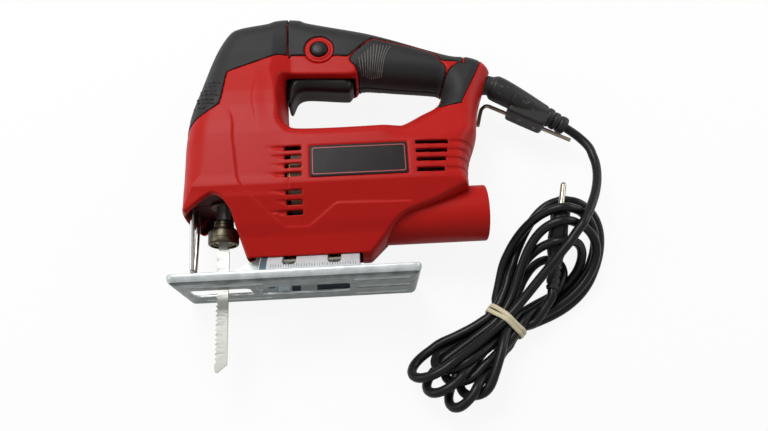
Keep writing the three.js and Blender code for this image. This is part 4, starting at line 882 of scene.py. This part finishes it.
def dash_build(tree, inlet):
    """A small bar at each point of the mesh, laid on the way that the point faces and turned on it."""
    bar = add(tree, "GeometryNodeMeshUVSphere", {"Segments": 10, "Rings": 6, "Radius": 1.0})
    spread_out, reach_out = add(tree, "GeometryNodeInstanceOnPoints"), add(tree, "ShaderNodeCombineXYZ")
    facing = add(tree, "GeometryNodeInputNamedAttribute", data_type="FLOAT_VECTOR")
    facing.inputs["Name"].default_value = "facing"
    stand = add(tree, "FunctionNodeAlignRotationToVector", axis="Z", pivot_axis="AUTO")
    tilt = add(tree, "FunctionNodeAxisAngleToRotation", {"Axis": (0, 0, 1)})
    lean = add(tree, "FunctionNodeRotateRotation", rotation_space="LOCAL")
    for k, label in enumerate(("Length", "Width", "Height")):
        wire(inlet, label, reach_out, k)
    wire(inlet, "Lean", tilt, "Angle")
    wire(facing, "Attribute", stand, "Vector")
    wire(stand, 0, lean, "Rotation")
    wire(tilt, 0, lean, "Rotate By")
    wire(inlet, "Geometry", spread_out, "Points")
    wire(bar, "Mesh", spread_out, "Instance")
    wire(lean, 0, spread_out, "Rotation")
    wire(reach_out, 0, spread_out, "Scale")
    return spread_out


dash_tree = node_tool("raised_dash", {"Length": 0.0014, "Width": 0.0004, "Height": 0.0003, "Lean": 0.8},
                      dash_build)


def dashes(name, spots, length, width, height, lean, surface):
    """Small raised bars on given spots, each with the direction it faces."""
    mesh = bpy.data.meshes.new(name + "_spots")
    mesh.from_pydata([tuple(at(p)[0]) for p, _ in spots], [], [])
    facing = mesh.attributes.new("facing", "FLOAT_VECTOR", "POINT")
    facing.data.foreach_set("vector", [c for _, way in spots for c in way])
    return grown(name, mesh, dash_tree, Length=length / 1000, Width=width / 1000, Height=height / 1000,
                 Lean=lean, Material=surface)


# the dashes are coloured darker than the grip: painted shade standing for the shade in grooves
dash_painted_shade = grained("dash_painted_shade", (0.003, 0.0028, 0.0028), (0.005, 0.0045, 0.004), 0.42, 1500, bump=0.2,
                      distance=0.00005, shine=0.3)
EDGE_LEFT_BARE = 1.3
for side_name, turn in SIDES:
    spots = []
    for row in range(7):
        for col in range(7):
            y = 141.5 - 3.4 * row - 1.1 * col
            x = -11.2 + 3.5 * col - 0.9 * row + 1.7 * (row % 2)
            j = int((y - gy[0]) / GRID)
            edge = min(grip_in["front_grip"][int((x + dx - gx[0]) / GRID), j, 0] for dx in (-2, 0, 2))
            if edge < EDGE_LEFT_BARE:
                continue
            rise_x, rise_y = on_skin(x - 1.5, y) - on_skin(x + 1.5, y), on_skin(x, y - 1.5) - on_skin(x,
                                                                                                      y + 1.5)
            way = Vector((rise_x, rise_y, 3.0)).normalized()
            spots.append(((x, y, turn * (on_skin(x, y) - 0.05)), (way.x, way.y, turn * way.z)))
    keep_on(dashes("front_grip_dashes_" + side_name, spots, 2.1, 0.8, 0.7, -0.5, dash_painted_shade), "housing",
            "soft_grip")

# -------------------- name plate
# Thin black printed plate in a shallow recess of the left flank, with a fine red line inside its edge.
# It carries no words. It is glued in, and its corners are rounded.
def plate_ring(inset, z, corner):
    """The name plate's outline, drawn in by an inset, at a height."""
    x0, x1, y0, y1 = [60 + inset + corner, 122.5 - inset - corner, 65 + inset + corner, 86.5 - inset - corner]
    return [(cx + corner * math.cos(a), cy + corner * math.sin(a), z)
            for cx, cy, start in ((x1, y1, 0), (x0, y1, 90), (x0, y0, 180), (x1, y0, 270))
            for a in [math.radians(start + 15 * k) for k in range(7)]]


plate_black = grained("plate_black", (0.01, 0.008, 0.008), (0.019, 0.016, 0.016), 0.36, 2200, bump=0.15,
                      distance=0.00004, shine=0.12)
plate_line = grained("plate_line", (0.42, 0.05, 0.05), (0.34, 0.03, 0.03), 0.45, 1500, bump=0.05)
rings = [plate_ring(inset, z, 1.6 - inset * 0.5) for inset,
         z in ((0, 30.25), (0, 30.9), (0.25, 31.08), (1.0, 31.1))]
keep_on(loft("name_plate_face", rings, plate_black), "housing", "black_plate", "name_plate")
rings = [plate_ring(inset, z, 1.4 - (inset - 1.5) * 0.5)
         for inset, z in ((1.5, 31.0), (1.5, 31.16), (2.0, 31.16), (2.0, 31.0))]
keep_on(loft("name_plate_line", rings, plate_line, ring_shut=True), "housing", "black_plate")

# -------------------- lock button
# Black nylon push button with a domed face that holds the trigger in. It slides in a raised red
# collar, which is moulded with the left shell.
profile = [(11.5, 6.15), (18.0, 6.15), (18.6, 6.35), (18.95, 6.8), (18.95, 7.4), (18.5, 8.0), (18.2, 8.6),
           (18.25, 9.2), (18.4, 9.6), (18.2, 10.0), (17.7, 10.25), (11.5, 10.3)]
ring = turned("lock_button_ring", profile, (*BUTTON, 0), (0, 0, 1), red_shell, 64, True)
keep_on(ring, "housing", "red_shell")
black_plastic = grained("black_plastic", (0.007, 0.006, 0.006), (0.012, 0.011, 0.01), 0.38, 1400, bump=0.12,
                        distance=0.00006, shine=0.2)
profile = [(11.3, 0), (11.3, 2.5), (15.3, 2.5), (15.6, 5.75), (18.8, 5.75), (19.7, 5.45), (20.2, 4.8),
           (20.5, 3.6), (20.7, 2.0), (20.75, 0)]
cap = turned("lock_button_cap", profile, (*BUTTON, 0), (0, 0, 1), black_plastic, 48)
keep_on(cap, "lock_button", "black_plastic", "lock_button")

# -------------------- trigger
# Hollow black nylon lever, pillow-shaped where the fingers lie, with a finger stop at its front. It
# turns on a pin inside the handle.
FINE = 0.5


def rounded(u, v, r):
    """Distance out of two faces with an edge of radius r; u and v count from r inside each."""
    return np.minimum(np.maximum(u, v), 0) + np.hypot(np.maximum(u, 0), np.maximum(v, 0)) - r


def rounded_prism(loop, z0, z1, r, x, y, z):
    """Field of a slab between two heights with all its edges rounded, on a grid of its own."""
    (deep_in,) = inside(loop, x[:, :, 0], y[:, :, 0])
    return rounded(r - deep_in[:, :, None], between(z, z0, z1) + r, r)


def fine_grid(x0, x1, y0, y1, z0, z1, step):
    """A grid of its own for a small piece: its first corner, and the three axes over it."""
    axes = [np.arange(a, b + step, step) for a, b in ((x0, x1), (y0, y1), (z0, z1))]
    return (axes[0][0], axes[1][0], axes[2][0]), np.meshgrid(*axes, indexing="ij")


lever = ring_line([(43.9, 132), (44.1, 129.2), (45.1, 128.2), (46.5, 128.9), (48.2, 133), (50.2, 137.2),
                   (54, 139.5), (61, 139.7), (84, 137.4), (87.6, 138.2), (89.6, 141.3), (90, 146),
                   (89.6, 155), (89.6, 155), (54, 155), (54, 155), (50, 156.4), (50, 156.4), (46.4, 156.4),
                   (46.4, 156.4), (43.9, 153), (43.9, 153)], 1.0)
spot, (x, y, z) = fine_grid(42, 92, 126, 158.5, -14, 14, FINE)
field = less(rounded_prism(lever, -12.5, 12.5, 6.8, x, y, z),
             common(np.hypot(x - 76, z) - 4.6, 150.5 - y))
keep_on(meshed(field, spot, "trigger_lever", black_plastic, FINE), "trigger", "black_plastic", "trigger")

# -------------------- key and its holder
# Hexagonal steel key for the sole's clamp screws, passivated yellow. A rubber holder moulded round
# the sleeve keeps its long arm; the short arm hangs behind the handle.
key_steel = grained("key_steel", (0.36, 0.31, 0.235), (0.16, 0.14, 0.11), 0.3, 600, bump=0.15,
                    distance=0.00006, metallic=1.0)
KEY_ROOT = np.array([204, 132.4])
KEY_ALONG, KEY_DOWN = np.array([0.881, -0.474]), np.array([-0.474, -0.881])


def beside(*spots):
    """Places beside the sleeve, each given by how far along it and how far below its middle it is."""
    return [KEY_ROOT + s * KEY_ALONG + o * KEY_DOWN for s, o in spots]


arm = beside((49, 8.8), (20, 8.8), (-2, 8.8), (-11.5, 8.8), (-14.4, 8.9), (-16.6, 9.9), (-17.6, 12.1),
             (-17.9, 15))
key_line = smooth_line([(*p, -11) for p in [*arm, (177.6, 115.8)]], 0.7)
key = loft("hex_key_steel", swept(key_line, 1.45, 6, 0.2), key_steel, sharp=35)
keep_on(key, "housing", "steel", "hex_key")
holder = ring_line(beside((2, 3), (12, 2.5), (26, 3), (28, 5), (27.6, 10), (26.4, 12), (24, 12.8), (3, 12.4),
                          (0.4, 11.6), (-1, 9.8), (-0.6, 5.5)), 1.0)
spot, (x, y, z) = fine_grid(190, 233, 98, 142, -18, 12, FINE)
along, below = [(x - KEY_ROOT[0]) * way[0] + (y - KEY_ROOT[1]) * way[1] for way in (KEY_ALONG, KEY_DOWN)]
near = np.full(x.shape, 99.0)
for p, radius in zip(sleeve_line[::4], sleeve_radius[::4]):
    near = np.minimum(near, np.sqrt((x - p[0]) ** 2 + (y - p[1]) ** 2 + (z - p[2]) ** 2) - radius)
strap_end = np.abs(along - 13.5 - 1.2 * np.sin(z * 0.9)) - 13
strap = common(near - 0.9, strap_end, 1 - 1.2 * np.sin(along * 0.55) - below)
field = np.minimum(rounded_prism(holder, -14.6, 1.6, 2.2, x, y, z), strap)
field = less(field, common(np.abs(below - 8.8) - 1.85, z + 9.3), near - 0.05)
holder_rubber = grained("holder_rubber", (0.012, 0.012, 0.012), (0.02, 0.019, 0.018), 0.5, 500, bump=0.35,
                        distance=0.00015, worn=((0.19, 0.175, 0.15), 0.62), shine=0.3)
keep_on(meshed(field, spot, "key_holder", holder_rubber, FINE), "housing", "cord_rubber", "key_clip")

# -------------------- dust tube
# Red nylon outlet for the dust, a plain round tube with its front cut on a slant under the motor. It
# is moulded apart and held between the two shells; its open end has a soft lip.
turns = np.linspace(0, 2 * math.pi, 96, endpoint=False)
rings = []
for reach_back, short, r in ((0, 0, 18.7), (0.5, 0, 18.7), (1, 0.9, 18.7), (1, 0.35, 18.62), (1, 0.08, 18.3),
                             (1, 0, 17.6), (1, 0.12, 16.9), (1, 0.9, 16.5), (0.5, 0, 16.5), (0, 0, 16.5)):
    up, across = 46 + r * np.cos(turns), r * np.sin(turns)
    front = 104 + np.clip((up - 26) / 2, 0, 20)
    rings.append(np.column_stack([front + (174 - short - front) * reach_back, up, across]))
tube = loft("dust_tube_skin", rings, red_shell, ring_shut=True, sharp=50)
keep_on(tube, "housing", "red_shell", "dust_tube")

# -------------------- sole plate
# Pan pressed from 2 mm galvanised sheet: rolled rim all round, stiffening beads pressed up from the
# underside, a long slot for the blade and an opening under the clamp screws.
def galvanised_sheet(name, bright, dull, scale, flow, share):
    """Zinc skin: broad bright and dull patches, fine scratches along the sheet, a soft sheen."""
    surface, shader = finish_nodes(name, bright, 0.34, share)
    tree = surface.node_tree
    place, fit = add(tree, "ShaderNodeTexCoord"), add(tree, "ShaderNodeMapping", {"Scale": flow})
    patch = add(tree, "ShaderNodeTexVoronoi", {"Scale": scale})
    blur = add(tree, "ShaderNodeTexNoise", {"Scale": scale * 0.4, "Detail": 5})
    streak = add(tree, "ShaderNodeTexNoise", {"Scale": 1.0, "Detail": 8})
    edge = add(tree, "ShaderNodeMapRange", {"From Min": 0.35, "From Max": 0.68})
    tint = add(tree, "ShaderNodeMix", {6: (*bright, 1), 7: (*dull, 1)}, data_type="RGBA")
    fine = add(tree, "ShaderNodeMapRange", {"To Min": 0.24, "To Max": 0.46})
    both = add(tree, "ShaderNodeMath", operation="ADD")
    relief = add(tree, "ShaderNodeBump", {"Strength": 0.25, "Distance": 0.0001})
    for pattern in (patch, blur, fit):
        wire(place, "Object", pattern, "Vector")
    wire(fit, 0, streak, "Vector")
    wire(blur, "Fac", edge, "Value")
    wire(edge, 0, tint, 0)
    wire(tint, 2, shader, "Base Color")
    wire(streak, "Fac", fine, "Value")
    wire(fine, 0, shader, "Roughness")
    wire(streak, "Fac", both, 0)
    wire(patch, "Distance", both, 1)
    wire(both, 0, relief, "Height")
    wire(relief, 0, shader, "Normal")
    return surface


galvanised = galvanised_sheet("galvanised_steel", (0.66, 0.69, 0.69), (0.47, 0.51, 0.51), 300, (60, 900, 900),
                              0.35)
# underside_painted_shade: a far darker zinc for the faces that point down, painted shade
underside_painted_shade = galvanised_sheet("underside_painted_shade", (0.185, 0.215, 0.21), (0.085, 0.105, 0.1), 300,
                                (40, 900, 900), 0.5)


def plan_box(x, z, x0, x1, z0, z1, r):
    """Distance to a rounded rectangle in plan, negative inside."""
    return rounded(between(x, x0, x1) + r, between(z, z0, z1) + r, r)


def bead(x, z, x0, x1, mid):
    """How far the sheet is pressed up along a groove with round ends."""
    half, rise = 2.8, 2.4
    away = np.hypot(np.maximum(np.maximum(x0 + half - x, x - x1 + half), 0), z - mid)
    return rise * (1 - ease(away, half * 0.45, half))


SHEET = 0.95
STEP = 0.6
spot, (x, y, z) = fine_grid(-30, 128.5, -1.5, 8.5, -33, 33, STEP)
beads = [(x0, x1, middle) for x0, x1 in ((-15, 29), (84, 120)) for middle in (19.5, -19.5)] + [(86, 121, 0)]
lift = sum(bead(x, z, *place) for place in beads)
bend = 4.8
pan = rounded(plan_box(x, z, -28, 126.5, -31, 31, 4.5) + bend, bend - (y - lift), bend)
pan = np.abs(pan + SHEET) - SHEET
top, lip = y - 6.5, 0.9
rolled = np.hypot(np.maximum(pan + lip, 0), np.maximum(top + lip, 0)) - lip
pan = np.where((pan > -lip) & (top > -lip), rolled, np.maximum(pan, top))
pan = less(pan, plan_box(x, z, -19.5, 19, -9.5, 9.5, 4), plan_box(x, z, 24, 82, -11, 11, 4))
sole_sheet = meshed(pan, spot, "sole_plate_sheet", galvanised, STEP)
sole_sheet.data.materials.append(underside_painted_shade)
# faces that point down take the darker zinc: painted shade on the pan's underside
for face in sole_sheet.data.polygons:
    face.material_index = int(face.normal.y < -0.72)
keep_on(sole_sheet, "sole", "galvanised_steel", "sole_plate")

# -------------------- tilt cradle
# Half-round saddle rolled from the same sheet and spot-welded in the pan. Two cross slots let it turn
# round the clamp screws; fine scale lines are stamped along its foot.
CLAMPS = (("front", 44.5), ("rear", 73))
spot, (x, y, z) = fine_grid(15.5, 91, 0.6, 24, -24, 24, STEP)
front = 15.6 + 10.4 * ease(y, 6.5, 10.3)
saddle = common(np.abs(np.hypot(y, z) - 21.4) - 0.98, x - 89, front - x, 2.1 - y)
for _, middle in CLAMPS:
    saddle = less(saddle, np.hypot(np.maximum(np.abs(x - middle) - 1.8, 0), np.maximum(14.6 - y, 0)) - 2.4)
cradle_sheet = galvanised_sheet("cradle_steel", (0.6, 0.65, 0.66), (0.47, 0.52, 0.53), 260, (900, 60, 60),
                                0.15)
# dark blue-black and bright patches for the saddle's inside: painted shade and a painted highlight standing
# for its reflections
saddle_painted_shade = grained("saddle_painted_shade", (0.02, 0.026, 0.03), (0.06, 0.075, 0.085), 0.32, 350, bump=0.3,
                      metallic=0.8)
dark_blue_band = grained("dark_blue_band", (0.055, 0.12, 0.16), (0.1, 0.17, 0.2), 0.34, 350, bump=0.2, metallic=0.5)
saddle_highlight_patch = grained("saddle_painted_highlight", (0.5, 0.56, 0.58), (0.22, 0.28, 0.32), 0.24, 260, bump=0.3, metallic=0.9,
                   spread=0.2)
saddle_sheet = meshed(saddle, spot, "tilt_cradle_saddle", cradle_sheet, STEP)
for surface in (dark_blue_band, saddle_painted_shade, saddle_highlight_patch):
    saddle_sheet.data.materials.append(surface)


def saddle_finish(x, y, z):
    """The surface at a place on the saddle: a dark blue band across its front, and painted shade and a
    painted highlight on its inside under the clamps.
    """
    if 26.9 < x < 30.8 and y > 6:
        return 1
    # inside, under the clamps: painted shade (index 2) and a painted highlight (index 3)
    if math.hypot(y, z) < 20.9 and y < 11.5:
        if 42 < x < 48.5 or 59 < x < 81.5:
            return 2
        if 33.5 < x < 41:
            return 3
    return 0


for face in saddle_sheet.data.polygons:
    face.material_index = saddle_finish(*(face.center * 1000 - Vector(TOOL_IN_MODEL)))
keep_on(saddle_sheet, "sole", "galvanised_steel", "tilt_cradle")

stamp_dark = grained("stamp_dark", (0.1, 0.11, 0.12), (0.05, 0.055, 0.06), 0.5, 900, bump=0.1, metallic=0.6)
spots = []
for _, turn in SIDES:
    for k in range(34):
        a = math.radians(60.5 if k % 5 else 59)
        up, out = math.cos(a), turn * math.sin(a)
        spots.append(((33.5 + 1.6 * k, 22.36 * math.cos(a), turn * 22.36 * math.sin(a)), (0.0, up, out)))
keep_on(dashes("cradle_scale_lines", spots, 0.16, 1.5, 0.12, 0.0, stamp_dark), "sole", "galvanised_steel")

yellow_zinc = grained("yellow_zinc", (0.56, 0.54, 0.46), (0.42, 0.4, 0.33), 0.4, 400, bump=0.1,
                      distance=0.00005, metallic=0.3)
shoe_form = ((-4.6, 19.5), (-4.8, 19.9), (-4.6, 20.3), (4.6, 20.3), (4.8, 19.9), (4.6, 19.5))
for label, middle in CLAMPS:
    rings = []
    for k in range(25):
        a = math.radians(-38 + 76 * k / 24)
        rings.append([[middle + s, r * math.cos(a), r * math.sin(a)] for s, r in shoe_form])
    keep_on(loft("clamp_shoe_" + label, rings, yellow_zinc), "housing", "steel")

# -------------------- wire guard
# Steel wire bent to a V with a round foot in front of the blade, to keep fingers off it. Both legs
# go up into the nose between the shells.
bright_steel = grained("bright_steel", (0.58, 0.575, 0.56), (0.4, 0.395, 0.39), 0.22, 700, bump=0.12,
                       distance=0.00005, metallic=1.0, stretch=(1, 0.2, 1))
leg = [(-19, y, z) for y, z in ((59.8, 8), (50, 7.7), (36, 6.2), (24, 4.7), (17.5, 3.8), (14.8, 3.0),
                                (13.4, 1.6), (13.1, 0))]
guard_line = smooth_line(leg + [(x, y, -z) for x, y, z in leg[-2::-1]], 0.8)
keep_on(loft("wire_guard_steel", swept(guard_line, 1.5, 20), bright_steel), "housing", "steel", "wire_guard")

# -------------------- guide roller
# Small hardened steel roller that backs the blade, with a groove that its rear edge runs in. It turns
# on a pin between the bracket's fork arms.
profile = [(-2.6, 1.75), (-2.6, 4.35), (-2.3, 4.7), (-1.0, 4.7), (-0.7, 4.15), (0.7, 4.15), (1.0, 4.7),
           (2.3, 4.7), (2.6, 4.35), (2.6, 1.75)]
roller = turned("guide_roller_steel", profile, (9.0, 9.4, 0), (0, 0, 1), bright_steel, 48, True)
keep_on(roller, "guide_roller", "steel", "guide_roller")

# -------------------- blade collar
# Bronzed steel collar that turns to free the blade. Its upper part is stepped, and the coils of its
# spring show from below. A ringed neck sits on the plunger over it.
bronze = grained("bronze_collar", (0.125, 0.105, 0.073), (0.062, 0.052, 0.038), 0.36, 800, bump=0.2,
                 distance=0.00008, metallic=1.0, stretch=(1, 0.25, 1))
outer_side = [(32.0, 8.5), (32.1, 9.3), (32.6, 9.8), (33.4, 10.0), (35.4, 10.0), (35.6, 9.75), (35.9, 9.75),
              (36.1, 10.0), (40.4, 10.0), (41.1, 9.7), (41.6, 9.0), (41.8, 8.3), (42.6, 8.1), (42.8, 7.6)]
inner_side = [(42.8, 6.95), (39.7, 6.9), (39.7, 5.95), (37.2, 5.95), (37.2, 8.1), (32.0, 8.1)]
collar = turned("blade_collar_bronze", outer_side + inner_side, (0, 0, 0), (0, 1, 0), bronze, 64, True)
keep_on(collar, "blade_collar", "bronze_collar", "blade_collar")
COIL, COILED = 6.95, 3.4 * 2 * math.pi
coil = [(COIL * math.cos(a), 32.75 + 3.9 * a / COILED, COIL * math.sin(a))
        for a in np.linspace(0, COILED, 150)]
brass_spring = grained("spring_brass", (0.42, 0.4, 0.22), (0.28, 0.27, 0.17), 0.3, 800, bump=0.1,
                       distance=0.00005, metallic=1.0)
keep_on(loft("collar_spring_coil", swept(coil, 0.5, 12), brass_spring), "blade_collar", "steel",
        "collar_spring")
neck = [(43.1, 5.1), (43.1, 6.2), (43.5, 6.6), (44.5, 6.6), (44.8, 6.1), (45.2, 6.1), (45.5, 6.5),
        (46.4, 6.5), (46.7, 6.0), (47.1, 6.0), (47.4, 6.4), (48.2, 6.3), (48.6, 5.8), (48.6, 5.1)]
keep_on(turned("plunger_neck", neck, (0, 0, 0), (0, 1, 0), bronze, 48, True), "plunger", "bronze_collar")

# -------------------- saw blade
# T-shank blade stamped from bright tool steel. Its teeth point up along the front edge and are set
# to left and right by turns; the tip is ground off on a slant. The sides are bare.
TEETH, PITCH, SET = 22, 3, 0.22
BODY, TOOTH_EDGE, BACK_EDGE = 0.6, 0.42, 0.35
levels = [(41.1, -3, 3, 0), (30.6, -3, 3, 0), (29.6, -3.05, 3.1, 0), (27.6, -3.7, 3.9, 0), (27, -4, 4, 0),
          (24, -4, 4, 0)]
for k in range(TEETH):
    y = 22 - PITCH * k
    lean = SET if k % 2 else -SET
    levels += [(y, -4, 4, lean), (y - 0.25, -3.9, 4, lean), (y - 1.7, -2.75, 4, 0), (y - 2.2, -2.8, 4, 0)]
levels += [(-44.6, -4, 4, 0), (-45, -4, 4, 0), (-48.4, -3.6, -0.2, 0), (-49.7, -3.0, -2.0, 0)]
verts, faces = [], []
for y, x0, x1, lean in levels:
    edge = TOOTH_EDGE if x0 < -2.7 and y < 23 and lean else BODY
    gullet = x0 + 1.6 if x1 - x0 > 3 else (x0 + x1) / 2
    for z in (-1, 1):
        verts += [(x0, y, z * edge + lean), (gullet, y, z * BODY), (x1 - 0.25, y, z * BODY),
                  (x1, y, z * BACK_EDGE)]
around = (0, 1, 2, 3, 7, 6, 5, 4)
for k in range(0, 8 * (len(levels) - 1), 8):
    faces += [(k + c, k + d, k + 8 + d, k + 8 + c) for c, d in zip(around, around[1:] + around[:1])]
faces += [(k, k + 4, k + 5, k + 1) for k in range(3)]
faces += [(k, k + 1, k + 5, k + 4) for k in range(len(verts) - 8, len(verts) - 5)]
blade_steel = grained("blade_steel", (0.62, 0.615, 0.58), (0.42, 0.415, 0.385), 0.34, 420, bump=0.5,
                      distance=0.00012, metallic=0.6, stretch=(0.3, 2.6, 1))
blade = outward(put("saw_blade_steel", at(verts), faces, blade_steel))
blade.data.set_sharp_from_angle(angle=math.radians(25))
keep_on(blade, "plunger", "blade_steel", "saw_blade")

# -------------------- motor, gears and fixings
# What the shells hold: universal motor, nylon fan, steel gears, bronze bushes, switch, clamps and
# screws. They are machined, stamped or wound parts, and each keeps its solid and gets its own finish.
inner_finishes = [
    (grained("cast_aluminium", (0.62, 0.63, 0.64), (0.5, 0.51, 0.52), 0.5, 700, bump=0.5, metallic=1.0),
     ["gearbox_plate"]),
    (grained("pale_nylon", (0.68, 0.65, 0.58), (0.6, 0.57, 0.5), 0.5, 900, bump=0.15),
     ["cooling_fan", "cord_clamp"]),
    (grained("laminated_steel", (0.3, 0.23, 0.155), (0.15, 0.11, 0.075), 0.55, 400, bump=0.5, metallic=0.3,
             stretch=(12, 1, 1)), ["stator_core", "wound_armature"]),
    (grained("copper_wire", (0.6, 0.28, 0.13), (0.42, 0.18, 0.08), 0.38, 900, bump=0.6, distance=0.0003,
             metallic=1.0, stretch=(0.3, 3, 3)), ["field_coil_left", "field_coil_right", "commutator"]),
    (grained("brush_carbon", (0.03, 0.03, 0.03), (0.05, 0.05, 0.05), 0.75, 1500, bump=0.3),
     ["brush_left", "brush_right"]),
    (grained("brass_plate", (0.62, 0.48, 0.2), (0.48, 0.37, 0.17), 0.34, 600, metallic=1.0),
     ["brush_holder_left", "brush_holder_right"]),
    (grained("sintered_bronze", (0.085, 0.06, 0.035), (0.05, 0.036, 0.022), 0.5, 1600, bump=0.4,
             metallic=1.0),
     ["plunger_bush_lower", "plunger_bush_upper"]),
    (black_plastic, ["switch_body"]),
    (galvanised, ["guide_bracket"]),
    (grained("machined_steel", (0.56, 0.55, 0.53), (0.44, 0.43, 0.42), 0.32, 900, bump=0.15, distance=0.00006,
             metallic=1.0),
     ["armature_shaft", "pinion", "bearing_front", "bearing_rear", "gear_axle", "crank_gear", "crank_roller",
      "plunger", "trigger_spring", "clamp_screw_front", "clamp_screw_rear",
      *["housing_screw_%d" % n for n in range(1, 5)]]),
]
for surface, names in inner_finishes:
    for name in names:
        for held in bpy.data.objects[name].material_slots:
            held.material = surface
